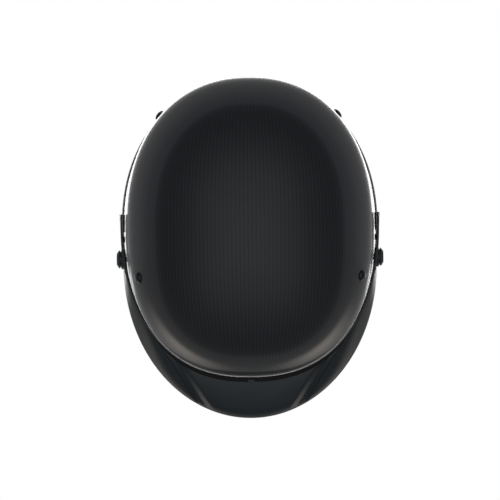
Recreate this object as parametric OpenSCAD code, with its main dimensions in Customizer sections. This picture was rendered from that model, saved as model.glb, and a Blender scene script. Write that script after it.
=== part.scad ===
// Motorcycle half helmet with a peak visor, foam liner, comfort pads and a quick-release chin strap.
// Millimetres, +Z up, the wearer faces -Y. The origin is the middle of the head opening, level with the nape.

/* [Shell] */
// Half width of the shell at its widest level
half_width = 112.5; // [100:0.5:125]
// Half length of the shell at its widest level
half_length = 136; // [122:0.5:150]
// Height of the crown above the nape rim
crown_height = 148; // [135:1:165]
// Wall thickness of the carbon shell
shell_wall = 3; // [2:0.1:4]
// Roundness of the plan outline in front, 2 is an ellipse
front_square = 2.35; // [2:0.05:2.8]
// Roundness of the plan outline behind, 2 is an ellipse
rear_square = 2.2; // [2:0.05:2.8]
// Roundness of the dome seen from the side, 2 is an ellipse
dome_square = 2.05; // [1.9:0.05:2.4]

/* [Rim] */
// Height of the rim at the brow
rim_front = 46; // [36:1:56]
// Height of the rim beside the ears
rim_side = 4; // [0:0.5:12]
// Height of the rim at the nape
rim_rear = 0; // [-6:0.5:6]
// Height of the widest level at the brow
wide_front = 64; // [58:1:76]
// Height of the widest level beside the ears
wide_side = 45; // [36:1:50]
// Height of the widest level at the nape
wide_rear = 44; // [34:1:54]
// How far the rim flares out beside the ears
side_flare = 2.3; // [0:0.1:3]
// Share of the wall below the widest level over which it flares
flare_share = 0.8; // [0.7:0.05:1]
// How far the rim draws in at the nape
nape_tuck = 7; // [0:0.5:12]
// How far the rim draws in at the brow
brow_tuck = 2; // [0:0.5:6]

/* [Edge trim] */
// Thickness of the rubber trim
trim_wall = 1.9; // [1.2:0.1:2.6]
// Height of the trim on the outside of the shell
trim_height = 8; // [5:0.5:11]
// Height of the trim on the inside of the shell
trim_inner_height = 6; // [4:0.5:9]

/* [Foam liner] */
// Thickness of the impact foam
foam_wall = 22; // [16:0.5:26]
// Height of the foam's lower edge above the rim
foam_lift = 4; // [3:0.5:8]
// Gap for the webbing between the trim and the foam
strap_gap = 3.2; // [2.8:0.1:4]
// Height over which the foam draws in above its lower edge
foam_step = 9; // [6:0.5:12]
// Thickness of the binding on the foam's lower edge
binding_wall = 1.6; // [1:0.1:2.5]

/* [Comfort pads] */
// Thickness of the pads round the head
pad_thick = 9; // [6:0.5:12]
// Thickness of the pads at their sewn edge
pad_seam = 1.6; // [1:0.1:2.5]
// Gap between neighbouring pads, in degrees round the head
pad_gap = 3; // [1.5:0.5:6]
// Thickness of the crown pad
crown_pad_thick = 8; // [5:0.5:10]

/* [Visor] */
// Thickness of the peak
visor_wall = 2.4; // [2:0.1:3.2]
// Thickness of the visor arms
arm_wall = 1.9; // [1.6:0.1:2.4]
// Gap from the shell to the visor arms
arm_gap = 2.6; // [2.4:0.1:4]
// Gap from the shell to the visor at the brow
brow_gap = 4.4; // [3.5:0.1:6]
// How far the visor stands out beyond the shell where it is widest
visor_side = 2.8; // [2.6:0.1:5]
// Distance in front of the helmet's middle at which the visor is widest
visor_wide_front = 35.2; // [32:0.2:40]
// How far the peak reaches in front of the shell
peak_length = 37.8; // [30:0.2:46]
// How far the arm ends stand out beyond the visor's outline
arm_splay = 3.3; // [1:0.1:5]
// Distance behind the helmet's middle at which the arms end
arm_end = 11.9; // [8:0.1:16]
// Height of the arms' lower edge
arm_low = 25; // [22:0.5:30]
// Height of the arms' upper edge
arm_high = 51; // [46:0.5:56]
// Height of the peak where it meets the brow
peak_back_height = 60; // [56:0.5:66]
// Height of the lip at the front of the peak
peak_lip_height = 43.5; // [38:0.5:50]
// How far the centre blade stands above the wings
blade_rise = 1.8; // [0.5:0.1:3]
// How far the bands beside the blade lie below the wings
band_drop = 1.8; // [0.5:0.1:2.2]
// Half width of the blade at the brow
blade_back = 57.4; // [50:0.2:62]
// Half width of the blade at the lip
blade_front = 33; // [28:0.2:36]
// Half width to the foot of the blade's bevel at the brow
foot_back = 70.2; // [66:0.2:74]
// Half width to the foot of the blade's bevel at the lip
foot_front = 39.1; // [37.5:0.1:42]
// Half width to the wing's ridge at the brow
ridge_back = 84; // [80:0.2:90]
// Half width to the wing's ridge at the lip
ridge_front = 49.2; // [47:0.2:54]
// Width of the step from the wing down to the band
ridge_step = 1.5; // [1:0.1:2]
// Half width of the tab in the middle of the visor's back edge
tab_half_width = 3; // [2:0.1:5]
// Gap from the tab to the shell, which lets the visor tilt up
tab_gap = 2.3; // [2.2:0.1:3]
// Height of the rubber bumpers' lower edge
bumper_low = 29; // [27:0.5:33]
// Height of the rubber bumpers
bumper_height = 15; // [10:0.5:17]

/* [Visor fixing] */
// Distance of the visor's axis in front of the helmet's middle
axis_front = 28.8; // [24:0.1:34]
// Height of the visor's axis
axis_height = 38; // [36:0.5:41]
// Diameter of the screws
screw_d = 5; // [4:0.5:6]
// Radial clearance of the screws in the arms and inserts
screw_clear = 0.05; // [0.02:0.01:0.1]
// Diameter of the flat boss round each screw
boss_d = 18; // [17:0.5:20]
// Height of the boss over the arm
boss_rise = 0.2; // [0.1:0.1:1]
// Diameter of the knobs at their base
knob_d = 16.4; // [14:0.2:17]
// Diameter of the knobs' outer face
knob_face_d = 10.4; // [8:0.2:12]
// Height of the knobs
knob_height = 3.2; // [2.8:0.1:6]
// Height of the knobs' straight edge
knob_edge = 1.1; // [0.6:0.1:1.4]
// Number of finger notches round each knob
knob_notches = 14; // [8:1:20]
// Diameter of the finger notches
notch_d = 1.2; // [1:0.1:2.4]
// Width of the coin slot in the knobs
slot_w = 1.8; // [1:0.1:2.4]
// Depth of the coin slot in the knobs
slot_depth = 1.2; // [0.6:0.1:1.6]
// Thickness of the captive washers
washer_thick = 0.8; // [0.6:0.1:1.2]
// Diameter of the captive washers
washer_d = 15; // [12:0.5:16.5]
// Diameter of the rubber spacers
spacer_d = 15; // [12:0.5:17]
// Diameter of the inserts' barrels
insert_d = 7.2; // [7:0.1:8]
// Diameter of the inserts' flanges
insert_flange_d = 11.6; // [10:0.2:13]
// Thickness of the inserts' flanges
insert_flange = 1; // [0.8:0.1:1.2]

/* [Strap rivets] */
// Diameter of the rivet heads
rivet_head_d = 10.4; // [8:0.2:12]
// Height of the rivet heads
rivet_head_rise = 2.8; // [2:0.1:4]
// Diameter of the rivet shanks
rivet_shank_d = 4.8; // [4:0.1:5.5]
// Diameter of the washers inside
rivet_washer_d = 12; // [10:0.5:14]
// Thickness of the washers inside
rivet_washer_thick = 0.8; // [0.6:0.1:1.2]
// Distance of the front rivets in front of the helmet's middle
rivet_front_y = 45.4; // [42:0.2:52]
// Height of the front rivets
rivet_front_z = 88; // [84:0.5:92]
// Distance of the rear rivets in front of the shell's rear end
rivet_rear_in = 34.8; // [32:0.2:40]
// Height of the rear rivets
rivet_rear_z = 38; // [34:0.5:42]

/* [Webbing] */
// Width of the webbing
web_w = 20; // [16:0.5:22]
// Thickness of the webbing
web_thick = 1.6; // [1.2:0.1:1.8]
// Distance behind the helmet's middle at which the chin strap hangs
strap_y = 14; // [6:0.5:22]
// How far the dividers lie inside the shell's half width
divider_in = 32.5; // [29:0.5:36]
// Height of the dividers' lower bars
divider_z = -34; // [-40:0.5:-30]
// How much narrower than the dividers the strap's bend under the chin is, each side
chin_in = 30; // [28:0.5:32]
// Length of the straight strap from each divider to the bend
strap_side = 73.1; // [72.5:0.1:78]
// Distance behind the middle at which the front legs leave the rim
front_exit_y = -9; // [-14:0.5:-6]
// Distance behind the middle at which the rear legs leave the rim
rear_exit_y = 51; // [46:0.5:56]
// Length of the webbing sewn back at each divider
sewn_length = 22; // [14:0.5:26]

/* [Dividers] */
// Thickness of the dividers
divider_thick = 3.2; // [2.6:0.1:4]
// Width of the bars that carry the webbing
bar_w = 3; // [2.4:0.1:3.4]
// Distance from the lower bar to each upper bar
bar_spread = 22; // [20:0.5:26]
// Clearance at each end of the webbing in its slot
slot_clear = 0.7; // [0.4:0.1:1.2]
// Width of plastic beyond each end of a slot
divider_margin = 2.6; // [2:0.1:3.4]

/* [Buckle] */
// Distance from the divider's lower bar to the buckle's strap bar
short_strap_length = 13; // [12:0.5:15]
// Diameter of the buckle's strap bars
strap_bar_d = 3; // [2.6:0.1:3.4]
// Length of the buckle housing
housing_length = 42; // [40:0.5:44]
// Wall of the buckle housing
housing_wall = 2.4; // [2:0.1:3]
// Thickness of the buckle housing's floor
housing_floor = 2; // [1.6:0.1:2.4]
// Height of the side walls above the strap's middle plane
housing_rise = 7.8; // [7.4:0.1:9]
// Clearance beside the lever
lever_clear = 0.4; // [0.3:0.1:0.6]
// Diameter of the lever pin
pin_d = 2.4; // [2:0.1:3]
// Radial clearance of the lever on its pin
pin_clear = 0.05; // [0.02:0.01:0.1]
// Thickness of the lever
lever_wall = 1.8; // [1.4:0.1:2.2]
// Width of the tongue
tongue_w = 15; // [13:0.5:16]
// Thickness of the tongue below its teeth
tongue_thick = 2.2; // [1.8:0.1:2.4]
// Clearance round the tongue
tongue_clear = 0.35; // [0.2:0.05:0.5]
// Length of the tongue's tail beyond the slot for the strap
tongue_tail = 4.2; // [3:0.1:6]
// Spacing of the teeth
tooth_pitch = 2.4; // [2:0.1:2.6]
// Height of the teeth
tooth_height = 1; // [0.7:0.1:1.3]
// Number of teeth the tongue can travel each way
travel_teeth = 3; // [2:1:3]
// Wire of the lever spring
spring_wire = 0.5; // [0.3:0.1:0.6]
// Outer diameter of the lever spring
spring_d = 4; // [3:0.2:5]
// Turns of the lever spring
spring_turns = 3; // [2:1:4]
// Length of the release tab
tab_length = 22; // [16:0.5:26]
// Width of the release tab
tab_w = 14; // [10:0.5:16]

/* [Chin pad and keepers] */
// Thickness of the chin pad above and below the strap
chin_pad_thick = 4.2; // [3:0.1:6]
// Width of the chin pad
chin_pad_w = 34; // [28:0.5:40]
// Angle at which the chin pad starts, from straight down towards the right
chin_pad_right = 54; // [40:1:56]
// Angle at which the chin pad ends, from straight down towards the left
chin_pad_left = 36; // [24:1:40]
// Length of the loose webbing end on the right
loose_end = 50; // [40:0.5:52]
// Distance from the divider's lower bar to the length adjuster
slider_drop = 20; // [17:0.5:24]
// Distance from the divider's lower bar to the keeper ring
keeper_drop = 40; // [36:0.5:42]
// Height of the keeper ring along the strap
keeper_h = 6; // [4:0.5:8]

/* [Hidden] */
$fn = 48;

seat = 0.3;             // running gap between pieces on different bodies
fit = 0.2;              // gap between pieces that seat on each other
curved_fit = 0.7;       // gap between curved walls, which meet where their flat steps come closest
web_dip = 1.35;         // gap from the shell to the middle of the flat webbing, whose edges lie close
around = 60;            // steps round the shell
around_soft = 48;       // steps round the foam
drill = 60;             // length of the cutters that make through holes
bite = 0.1;             // overlap of the pieces of one solid
carbon = [0.17, 0.18, 0.19];
rubber = [0.12, 0.12, 0.13];
foam = [0.25, 0.25, 0.26];
cloth = [0.2, 0.2, 0.22];
plastic = [0.14, 0.15, 0.16];
steel = [0.66, 0.67, 0.69];
webbing = [0.1, 0.1, 0.11];

function mix(a, b, w) = a + (b - a) * w;
function clamp(v, low, high) = max(low, min(high, v));
function ease(w) = w * w * (3 - 2 * w);
function signed_power(v, p) = (v < 0 ? -1 : 1) * pow(abs(v), p);
function unit(v) = v / norm(v);
function flip(v) = [-v.x, v.y, v.z];

// Plan outline: t is the angle round the head, 0 at the left ear, 90 at the nape, -90 at the brow
function square_at(t) = sin(t) < 0 ? front_square : rear_square;
function plan_x(t) = signed_power(cos(t), 2 / square_at(t));
function plan_y(t) = signed_power(sin(t), 2 / square_at(t));
// A height that changes from ear to brow or nape, where share is -1 at the brow and 1 at the nape
function by_share(share, front, side, rear) =
    mix(side, share < 0 ? front : rear, ease(min(1, abs(share))));
function rim_z(share) = by_share(share, rim_front, rim_side, rim_rear);
function wide_z(share) = by_share(share, wide_front, wide_side, wide_rear);
function tuck(share) = (share < 0 ? brow_tuck : nape_tuck) * share * share;

// Flare beside the ears, which dies away towards the brow and the nape
function flare(px, down) = side_flare * pow(abs(px), 8) * ease(min(1, down / flare_share));
// Wall below the widest level: up is the height above the rim, in_by the distance inside the outer face
function low_wall(t, up, in_by) =
    let (px = plan_x(t), py = plan_y(t), rise = wide_z(py) - rim_z(py), down = clamp(1 - up / rise, 0, 1.3))
    [(half_width - in_by + flare(px, down)) * px, (half_length - in_by - tuck(py) * down * down) * py,
     rim_z(py) + up];
// Dome above the widest level: turn goes from 0 there to 90 at the crown
function high_wall(t, turn, in_by) =
    let (py = plan_y(t), out = pow(cos(turn), 2 / dome_square), rise = pow(sin(turn), 2 / dome_square))
    [(half_width - in_by) * out * plan_x(t), (half_length - in_by) * out * py,
     mix(wide_z(py), crown_height - in_by, rise)];
// One parameter for both: level goes from -1 at the rim through 0 at the widest level to 1 at the crown
function wall_at(t, level, in_by, lift = 0) =
    level >= 0 ? high_wall(t, 90 * level, in_by)
    : let (py = plan_y(t), rise = wide_z(py) - rim_z(py)) low_wall(t, mix(rise, lift, -level), in_by);

// Half width of the wall at a given y and height, found in four rounds
function wall_x(y, z, in_by, grow = 1, rounds = 4) =
    let (share = y / ((half_length - in_by) * grow), wide = wide_z(share),
         climb = clamp((z - wide) / (crown_height - in_by - wide), 0, 0.99),
         next = pow(1 - pow(climb, dome_square), 1 / dome_square))
    rounds > 0 ? wall_x(y, z, in_by, next, rounds - 1)
    : let (power = share < 0 ? front_square : rear_square,
           down = clamp((wide - z) / (wide - rim_z(share)), 0, 1.3),
           drawn = abs(y) / (half_length - in_by - tuck(share) * down * down),
           px = pow(max(0, 1 - pow(z > wide ? abs(share) : drawn, power)), 1 / power))
    (half_width - in_by + (z > wide ? 0 : flare(px, down))) * px * (z > wide ? grow : 1);
function wall_point(y, z, in_by) = [wall_x(y, z, in_by), y, z];
function wall_normal(y, z, in_by) =
    unit([1, wall_x(y - 0.5, z, in_by) - wall_x(y + 0.5, z, in_by),
          wall_x(y, z - 0.5, in_by) - wall_x(y, z + 0.5, in_by)]);

// Two triangles for the cell with corners a, b, c, d, seen clockwise from outside
function cell(a, b, c, d) = [[a, b, c], [a, c, d]];

// Closed bowl from the rim to the crown, with an outer and an inner face given by lists of offsets
module bowl(levels, outer, inner, lift, steps) {
    rows = len(levels);
    crown_out = outer[rows];
    crown_in = inner[rows];
    face_of = function (offsets) [for (r = [0:rows - 1]) for (s = [0:steps - 1])
        wall_at(360 * s / steps, levels[r], offsets[r], lift)];
    points = concat(face_of(outer), [[0, 0, crown_height - crown_out]],
                    face_of(inner), [[0, 0, crown_height - crown_in]]);
    turn = rows * steps + 1;
    at = function (side, r, s) side * turn + r * steps + s % steps;
    faces = concat(
        [for (r = [0:rows - 2]) for (s = [0:steps - 1])
            each cell(at(0, r, s), at(0, r + 1, s), at(0, r + 1, s + 1), at(0, r, s + 1))],
        [for (r = [0:rows - 2]) for (s = [0:steps - 1])
            each cell(at(1, r, s), at(1, r, s + 1), at(1, r + 1, s + 1), at(1, r + 1, s))],
        [for (s = [0:steps - 1]) [at(0, rows - 1, s), turn - 1, at(0, rows - 1, s + 1)]],
        [for (s = [0:steps - 1]) [at(1, rows - 1, s + 1), 2 * turn - 1, at(1, rows - 1, s)]],
        [for (s = [0:steps - 1]) each cell(at(0, 0, s), at(0, 0, s + 1), at(1, 0, s + 1), at(1, 0, s))]);
    polyhedron(points, faces);
}

// Closed plate between two grids of points of the same size, top seen from outside
module slab(top, under) {
    rows = len(top);
    cols = len(top[0]);
    at = function (side, r, c) side * rows * cols + r * cols + c;
    points = concat([for (row = top) each row], [for (row = under) each row]);
    faces = concat(
        [for (r = [0:rows - 2]) for (c = [0:cols - 2]) each concat(
            cell(at(0, r, c), at(0, r + 1, c), at(0, r + 1, c + 1), at(0, r, c + 1)),
            cell(at(1, r, c), at(1, r, c + 1), at(1, r + 1, c + 1), at(1, r + 1, c)))],
        [for (r = [0:rows - 2]) each concat(
            cell(at(0, r, 0), at(1, r, 0), at(1, r + 1, 0), at(0, r + 1, 0)),
            cell(at(0, r + 1, cols - 1), at(1, r + 1, cols - 1), at(1, r, cols - 1), at(0, r, cols - 1)))],
        [for (c = [0:cols - 2]) each concat(
            cell(at(0, 0, c + 1), at(1, 0, c + 1), at(1, 0, c), at(0, 0, c)),
            cell(at(0, rows - 1, c), at(1, rows - 1, c), at(1, rows - 1, c + 1), at(0, rows - 1, c + 1)))]);
    polyhedron(points, faces);
}

// Ring or open run of equal closed sections
module run_of(sections, closed) {
    count = len(sections);
    sides = len(sections[0]);
    at = function (i, k) (i % count) * sides + k % sides;
    faces = concat(
        [for (i = [0:count - (closed ? 1 : 2)]) for (k = [0:sides - 1])
            each cell(at(i, k), at(i, k + 1), at(i + 1, k + 1), at(i + 1, k))],
        closed ? [] : [[for (k = [sides - 1:-1:0]) k], [for (k = [0:sides - 1]) (count - 1) * sides + k]]);
    polyhedron([for (section = sections) each section], faces);
}

// Flat ribbon of the webbing's thickness along a list of [point, width direction, normal]
module ribbon(stations, w = web_w, thick = web_thick) {
    run_of([for (s = stations) [for (c = [[1, 1], [1, -1], [-1, -1], [-1, 1]])
        s[0] + s[1] * c[0] * w / 2 + s[2] * c[1] * thick / 2]], false);
}

// Outline of a stroke of even thickness along a flat route
function stroke(route, thick) =
    let (last = len(route) - 1,
         side = [for (i = [0:last]) let (d = unit(route[min(last, i + 1)] - route[max(0, i - 1)]))
            [-d.y, d.x] * thick / 2])
    concat([for (i = [0:last]) route[i] + side[i]], [for (i = [last:-1:0]) route[i] - side[i]]);

module mirrored(is_right) {
    if (is_right) mirror([1, 0, 0]) children();
    else children();
}
// Turns +Z outwards square to the shell and moves to its face at [y, z]
module at_rivet(place) {
    dir = wall_normal(place.x, place.y, 0);
    translate(wall_point(place.x, place.y, 0)) rotate([0, acos(dir.z), atan2(dir.y, dir.x)]) children();
}

shell_levels = [-1, -0.8, -0.6, -0.3, 0, 0.1, 0.2, 0.3, 0.4, 0.5, 0.6, 0.7, 0.8, 0.9];
foam_levels = [-1, -0.64, -0.2, 0, 0.1, 0.2, 0.3, 0.4, 0.5, 0.6, 0.7, 0.8, 0.9];
foam_out = shell_wall + curved_fit;
foam_in = foam_out + foam_wall;
// The trim's inner leg, then the webbing's way out, then the binding and the foam
trim_in = shell_wall + fit + trim_wall;
web_in = trim_in + strap_gap - web_thick / 2 - 2 * seat;
binding_out = trim_in + strap_gap;
foam_foot = binding_out + binding_wall + fit;

module outer_shell() color(carbon) difference() {
    rows = [0:len(shell_levels)];
    bowl(shell_levels, [for (i = rows) 0], [for (i = rows) shell_wall], 0, around);
    for (is_right = [false, true]) mirrored(is_right) {
        at_axis(half_width - foam_wall) cylinder(d = insert_d + 2 * fit, h = drill);
        for (place = rivet_places) at_rivet(place)
            cylinder(d = rivet_shank_d + 2 * fit, h = 4 * shell_wall, center = true);
    }
}

module edge_trim() color(rubber) {
    outside = -trim_wall - fit;
    half = trim_wall / 2;
    section = [[-fit, trim_height], [-fit - half, trim_height + 0.6], [outside, trim_height - 1],
        [outside, 0], [outside / 2, -trim_wall], [trim_in - half, -trim_wall], [trim_in, 0],
        [trim_in, trim_inner_height - 1], [trim_in - half, trim_inner_height],
        [shell_wall + fit, trim_inner_height - 0.4], [shell_wall + fit, -fit], [-fit, -fit]];
    turns = [for (s = [0:around - 1]) -360 * s / around];
    run_of([for (t = turns) [for (c = section) low_wall(t, c.y, c.x)]], true);
}

// Room round the hardware and the webbing in the foam
pocket_clear = 1.5;
// Foam bowl, with a channel behind each webbing leg and pockets round the screws and rivets
module eps_liner() color(foam) difference() {
    bowl(foam_levels, concat([foam_foot, foam_foot], [for (i = [2:len(foam_levels)]) foam_out]),
         [for (i = [0:len(foam_levels)]) foam_in], foam_lift, around_soft);
    for (is_right = [false, true]) mirrored(is_right) {
        for (leg = [front_leg, rear_leg]) let (stations = leg_on_wall(leg))
            for (i = [0:len(stations) - 2]) hull() for (s = [stations[i], stations[i + 1]])
                multmatrix([for (k = [0:2]) [s[1][k], s[2][k], k == 2 ? 1 : 0, s[0][k]]])
                    cube([web_w + 2 * pocket_clear, web_thick + 1.5 * pocket_clear, 2], center = true);
        at_axis(half_width - foam_wall / 2) cylinder(d = insert_flange_d + 2 * pocket_clear, h = foam_wall);
        for (place = rivet_places) at_rivet(place)
            translate([0, 0, -rivet_depth - rivet_tail - curved_fit])
                cylinder(d = rivet_washer_d + 2 * pocket_clear, h = foam_wall);
    }
}

module rim_binding() color(cloth) {
    foot = foam_lift - seat;
    low = foot - binding_wall;
    inside = binding_out + binding_wall;
    section = [[binding_out, foam_step], [binding_out, foot], [inside, low], [foam_in - binding_wall, low],
        [foam_in, low + binding_wall / 2], [foam_in, foot], [inside, foot], [inside, foam_step]];
    turns = [for (s = [0:around_soft - 1]) -360 * s / around_soft];
    run_of([for (t = turns) [for (c = section) low_wall(t, c.y, c.x)]], true);
}

// Comfort pad on the foam: from and to are angles round the head, top is its upper level
swell = function (w) pow(max(0, 1 - pow(abs(2 * w - 1), 4)), 0.5);
module wall_pad(from, to, top, cols, rows, channels) color(cloth) {
    grid = function (inner) [for (r = [0:rows]) [for (c = [0:cols])
        let (w = c / cols, h = r / rows, t = mix(from, to, w), level = mix(-1, top, h),
             sewn = 1 - 0.3 * pow(abs(cos(180 * channels * w)), 6),
             thick = pad_seam + (pad_thick - pad_seam) * swell(w) * swell(h) * sewn,
             drawn = 0.012 * (to - from) * (2 * w - 1) * (1 - abs(2 * h - 1)))
        wall_at(t - drawn, level, foam_in + curved_fit + (inner ? thick : 0), foam_lift)]];
    slab(grid(false), grid(true));
}
module brow_pad() wall_pad(-90 - brow_half, -90 + brow_half, 0.16, 16, 8, 5);
module nape_pad() wall_pad(90 - nape_half, 90 + nape_half, 0.3, 16, 8, 5);
module left_side_pad() wall_pad(-90 + brow_half + pad_gap, 90 - nape_half - pad_gap, 0.42, 16, 8, 4);
module right_side_pad() mirror([1, 0, 0]) left_side_pad();
brow_half = 44;
nape_half = 40;

// Crown pad: an oval cushion with six lobes, its two faces meeting at the sewn edge
crown_lobes = 6;
crown_edge = 0.5;       // level of the sewn edge, where 0 is the widest level and 1 the crown
module crown_pad() color(cloth) {
    rows = 5;
    steps = 36;
    top = crown_height - foam_in - curved_fit;
    face_of = function (inner) [for (r = [1:rows]) for (s = [0:steps - 1])
        let (t = 360 * s / steps, share = r / rows, bow = 1 - 0.08 * (1 - cos(crown_lobes * t)) * share,
             sewn = 1 - 0.35 * pow(abs(cos(crown_lobes / 2 * t)), 8) * share,
             thick = pad_seam + (crown_pad_thick - pad_seam) * pow(1 - pow(share, 4), 0.5) * sewn)
        high_wall(t, 90 * (1 - (1 - crown_edge) * share * bow), foam_in + curved_fit + (inner ? thick : 0))];
    points = concat(face_of(false), [[0, 0, top]], face_of(true), [[0, 0, top - crown_pad_thick]]);
    turn = rows * steps + 1;
    at = function (side, r, s) side * turn + r * steps + s % steps;
    last = rows - 1;
    polyhedron(points, concat(
        [for (r = [0:rows - 2]) for (s = [0:steps - 1]) each concat(
            cell(at(0, r, s + 1), at(0, r + 1, s + 1), at(0, r + 1, s), at(0, r, s)),
            cell(at(1, r, s), at(1, r + 1, s), at(1, r + 1, s + 1), at(1, r, s + 1)))],
        [for (s = [0:steps - 1]) [turn - 1, at(0, 0, s + 1), at(0, 0, s)]],
        [for (s = [0:steps - 1]) [2 * turn - 1, at(1, 0, s), at(1, 0, s + 1)]],
        [for (s = [0:steps - 1])
            each cell(at(0, last, s), at(0, last, s + 1), at(1, last, s + 1), at(1, last, s))]));
}

// Visor: each station gives a point on the back edge, one on the front edge, and the relief of its facets
visor_y = -visor_wide_front;
visor_half_width = half_width + visor_side;
visor_reach = half_length + peak_length - visor_wide_front;
function plan_angle(share, power) = acos(clamp(pow(share, power / 2), 0, 1));
function back_edge(t) = let (front = max(0, -plan_y(t)), gap = mix(arm_gap, brow_gap, pow(front, 6)))
    [(half_width + gap) * plan_x(t), (half_length + gap) * plan_y(t)];
function back_angle(x) = -plan_angle(x / (half_width + arm_gap), front_square);
function arm_inner(y) = let (square = y < 0 ? front_square : rear_square)
    (half_width + arm_gap) * pow(1 - pow(abs(y) / (half_length + arm_gap), square), 1 / square);
function arm_outer(y) = visor_half_width + arm_splay * max(0, y - visor_y) / (arm_end - visor_y);
function front_edge(turn) = [visor_half_width * cos(turn), visor_y - visor_reach * sin(turn)];
function front_turn(x) = acos(clamp(x / visor_half_width, 0, 1));
side_angle = -asin(pow(-visor_y / (half_length + arm_gap), front_square / 2));
arm_angle = asin(pow(arm_end / (half_length + arm_gap), rear_square / 2));
// Breaks of the facets from the middle outwards: [back angle, front turn, relief, steps to the next]
visor_breaks = [
    [-90, 90, blade_rise, 5],
    [back_angle(blade_back), front_turn(blade_front), blade_rise, 2],
    [back_angle(foot_back), front_turn(foot_front), -band_drop, 2],
    [back_angle(ridge_back - ridge_step), front_turn(ridge_front - ridge_step), -band_drop, 1],
    [back_angle(ridge_back), front_turn(ridge_front), 0, 9],
    [side_angle, 0, 0, 0]];
visor_half = concat(
    [for (i = [0:len(visor_breaks) - 2]) let (a = visor_breaks[i], b = visor_breaks[i + 1])
        for (s = [0:a[3] - 1]) let (m = mix(a, b, s / a[3])) [back_edge(m[0]), front_edge(m[1]), m[2], m[1]]],
    [for (s = [0:5]) let (b = back_edge(mix(side_angle, arm_angle, s / 5)))
        [b, [arm_outer(b.y), b.y], 0, 0]]);
// Share along the section, height on the arm and height on the peak
visor_section = [[0, 1, 0], [0.35, 0.74, 0.12], [0.7, 0.35, 0.36], [0.94, 0.08, 0.66], [1, 0, 1]];
// Where the section is shorter than visor_turn it points straight out
visor_turn = 6;
function visor_row(s, under) =
    let (reach = s[1] - s[0], far = norm(reach),
         dir = far > visor_turn ? reach / far : [cos(s[3]), -sin(s[3])],
         lean = ease(clamp(sin(s[3]) * 1.1, 0, 1)), length = max(0, reach * dir - arm_wall * (1 - lean)))
    [for (k = [0:4]) let (p = visor_section[k],
        out = length * p[0] + (under ? (k == 4 ? -visor_wall * lean : 0) : arm_wall * (1 - lean)),
        high = mix(mix(arm_high, arm_low, 1 - p[1]), mix(peak_back_height, peak_lip_height, p[2]), lean)
            + s[2] * min(1, 2 * lean) * (k == 4 ? 0.4 : 1)
            - (under ? visor_wall * lean * (k == 4 ? 0 : 1) : 0))
        [s[0].x + dir.x * out, s[0].y + dir.y * out, high]];
visor_stations = concat([for (i = [len(visor_half) - 1:-1:1]) let (s = visor_half[i])
    [[-s[0].x, s[0].y], [-s[1].x, s[1].y], s[2], 180 - s[3]]], visor_half);
// Outer face of the arm where the boss ends, and the shell's face below the screw
boss_rear = boss_d / 2 - axis_front;
arm_face = max(arm_outer(boss_rear), arm_inner(boss_rear) + arm_wall);
boss_face = arm_face + boss_rise;
seat_face = wall_x(-axis_front, axis_height, 0);
arm_back = back_edge(side_angle).x;
// How far inside the arm's inner face the boss starts, so that it is one with the curved arm
boss_sink = 0.6;
// How far the tab reaches into the peak
tab_root = 1;
// Turns +Z outwards along the visor's axis, from a distance x to the left of the middle
module at_axis(x) translate([x, -axis_front, axis_height]) rotate([0, 90, 0]) children();

module visor() color(plastic) difference() {
    union() {
        slab([for (s = visor_stations) visor_row(s, false)], [for (s = visor_stations) visor_row(s, true)]);
        for (is_right = [false, true]) mirrored(is_right)
            at_axis(arm_back + boss_sink) cylinder(d = boss_d, h = boss_face - arm_back - boss_sink);
        translate([-tab_half_width, -half_length - brow_gap - tab_root,
                   peak_back_height + blade_rise - visor_wall])
            cube([2 * tab_half_width, brow_gap - tab_gap + tab_root, visor_wall]);
    }
    for (is_right = [false, true]) mirrored(is_right)
        at_axis(seat_face) cylinder(d = screw_d + 2 * screw_clear, h = drill);
}

// Piece of the space outside the shell, from a gap to far out, to shape what stands against it
module outside_patch(t_from, t_to, gap, thick) {
    cols = 8;
    rows = 5;
    grid = function (in_by) [for (r = [0:rows]) [for (c = [0:cols])
        wall_at(mix(t_from, t_to, c / cols), mix(-0.5, 0.35, r / rows), in_by)]];
    slab(grid(gap), grid(gap + thick));
}
// Blocks under the arm: where each starts and its length along the arm
bumper_places = [[-4.1, 15.5], [-13.4, 5.2]];
module bumper(from, length) {
    face_of = function (on_arm) [for (r = [0:3]) [for (c = [0:4])
        let (y = from + length * c / 4, z = bumper_low + bumper_height * r / 3)
        [on_arm ? arm_inner(y) - fit : wall_x(y, z, -2 * seat), y, z]]];
    slab(face_of(true), face_of(false));
}
module visor_bumpers() color(rubber) for (is_right = [false, true]) mirrored(is_right)
    for (place = bumper_places) bumper(place[0], place[1]);
// Angle round the head of the visor's axis, and how far round it the spacer is shaped to the shell
axis_angle = -asin(pow(axis_front / half_length, front_square / 2));
spacer_turn = 14;
module visor_spacers() color(rubber) for (is_right = [false, true]) mirrored(is_right) difference() {
    at_axis(half_width - spacer_d / 2)
        cylinder(d = spacer_d, h = arm_back - seat - half_width + spacer_d / 2);
    at_axis(half_width - spacer_d) cylinder(d = screw_d + 4 * fit, h = drill);
    outside_patch(axis_angle - spacer_turn, axis_angle + spacer_turn, -curved_fit, spacer_d);
}
module visor_inserts() color(steel) for (is_right = [false, true]) mirrored(is_right)
    at_axis(insert_face) difference() {
        union() {
            cylinder(d = insert_flange_d, h = insert_flange);
            cylinder(d = insert_d, h = seat_face - insert_sink - insert_face);
        }
        translate([0, 0, -1]) cylinder(d = screw_d + 2 * screw_clear, h = drill);
    }
// How far the barrel ends below the shell's face
insert_sink = 1.2;
// The flat flange clears the curved wall all round
insert_face = wall_x(-axis_front - insert_flange_d / 2, axis_height + insert_flange_d / 4, shell_wall)
    - 3 * fit - insert_flange;

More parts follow.
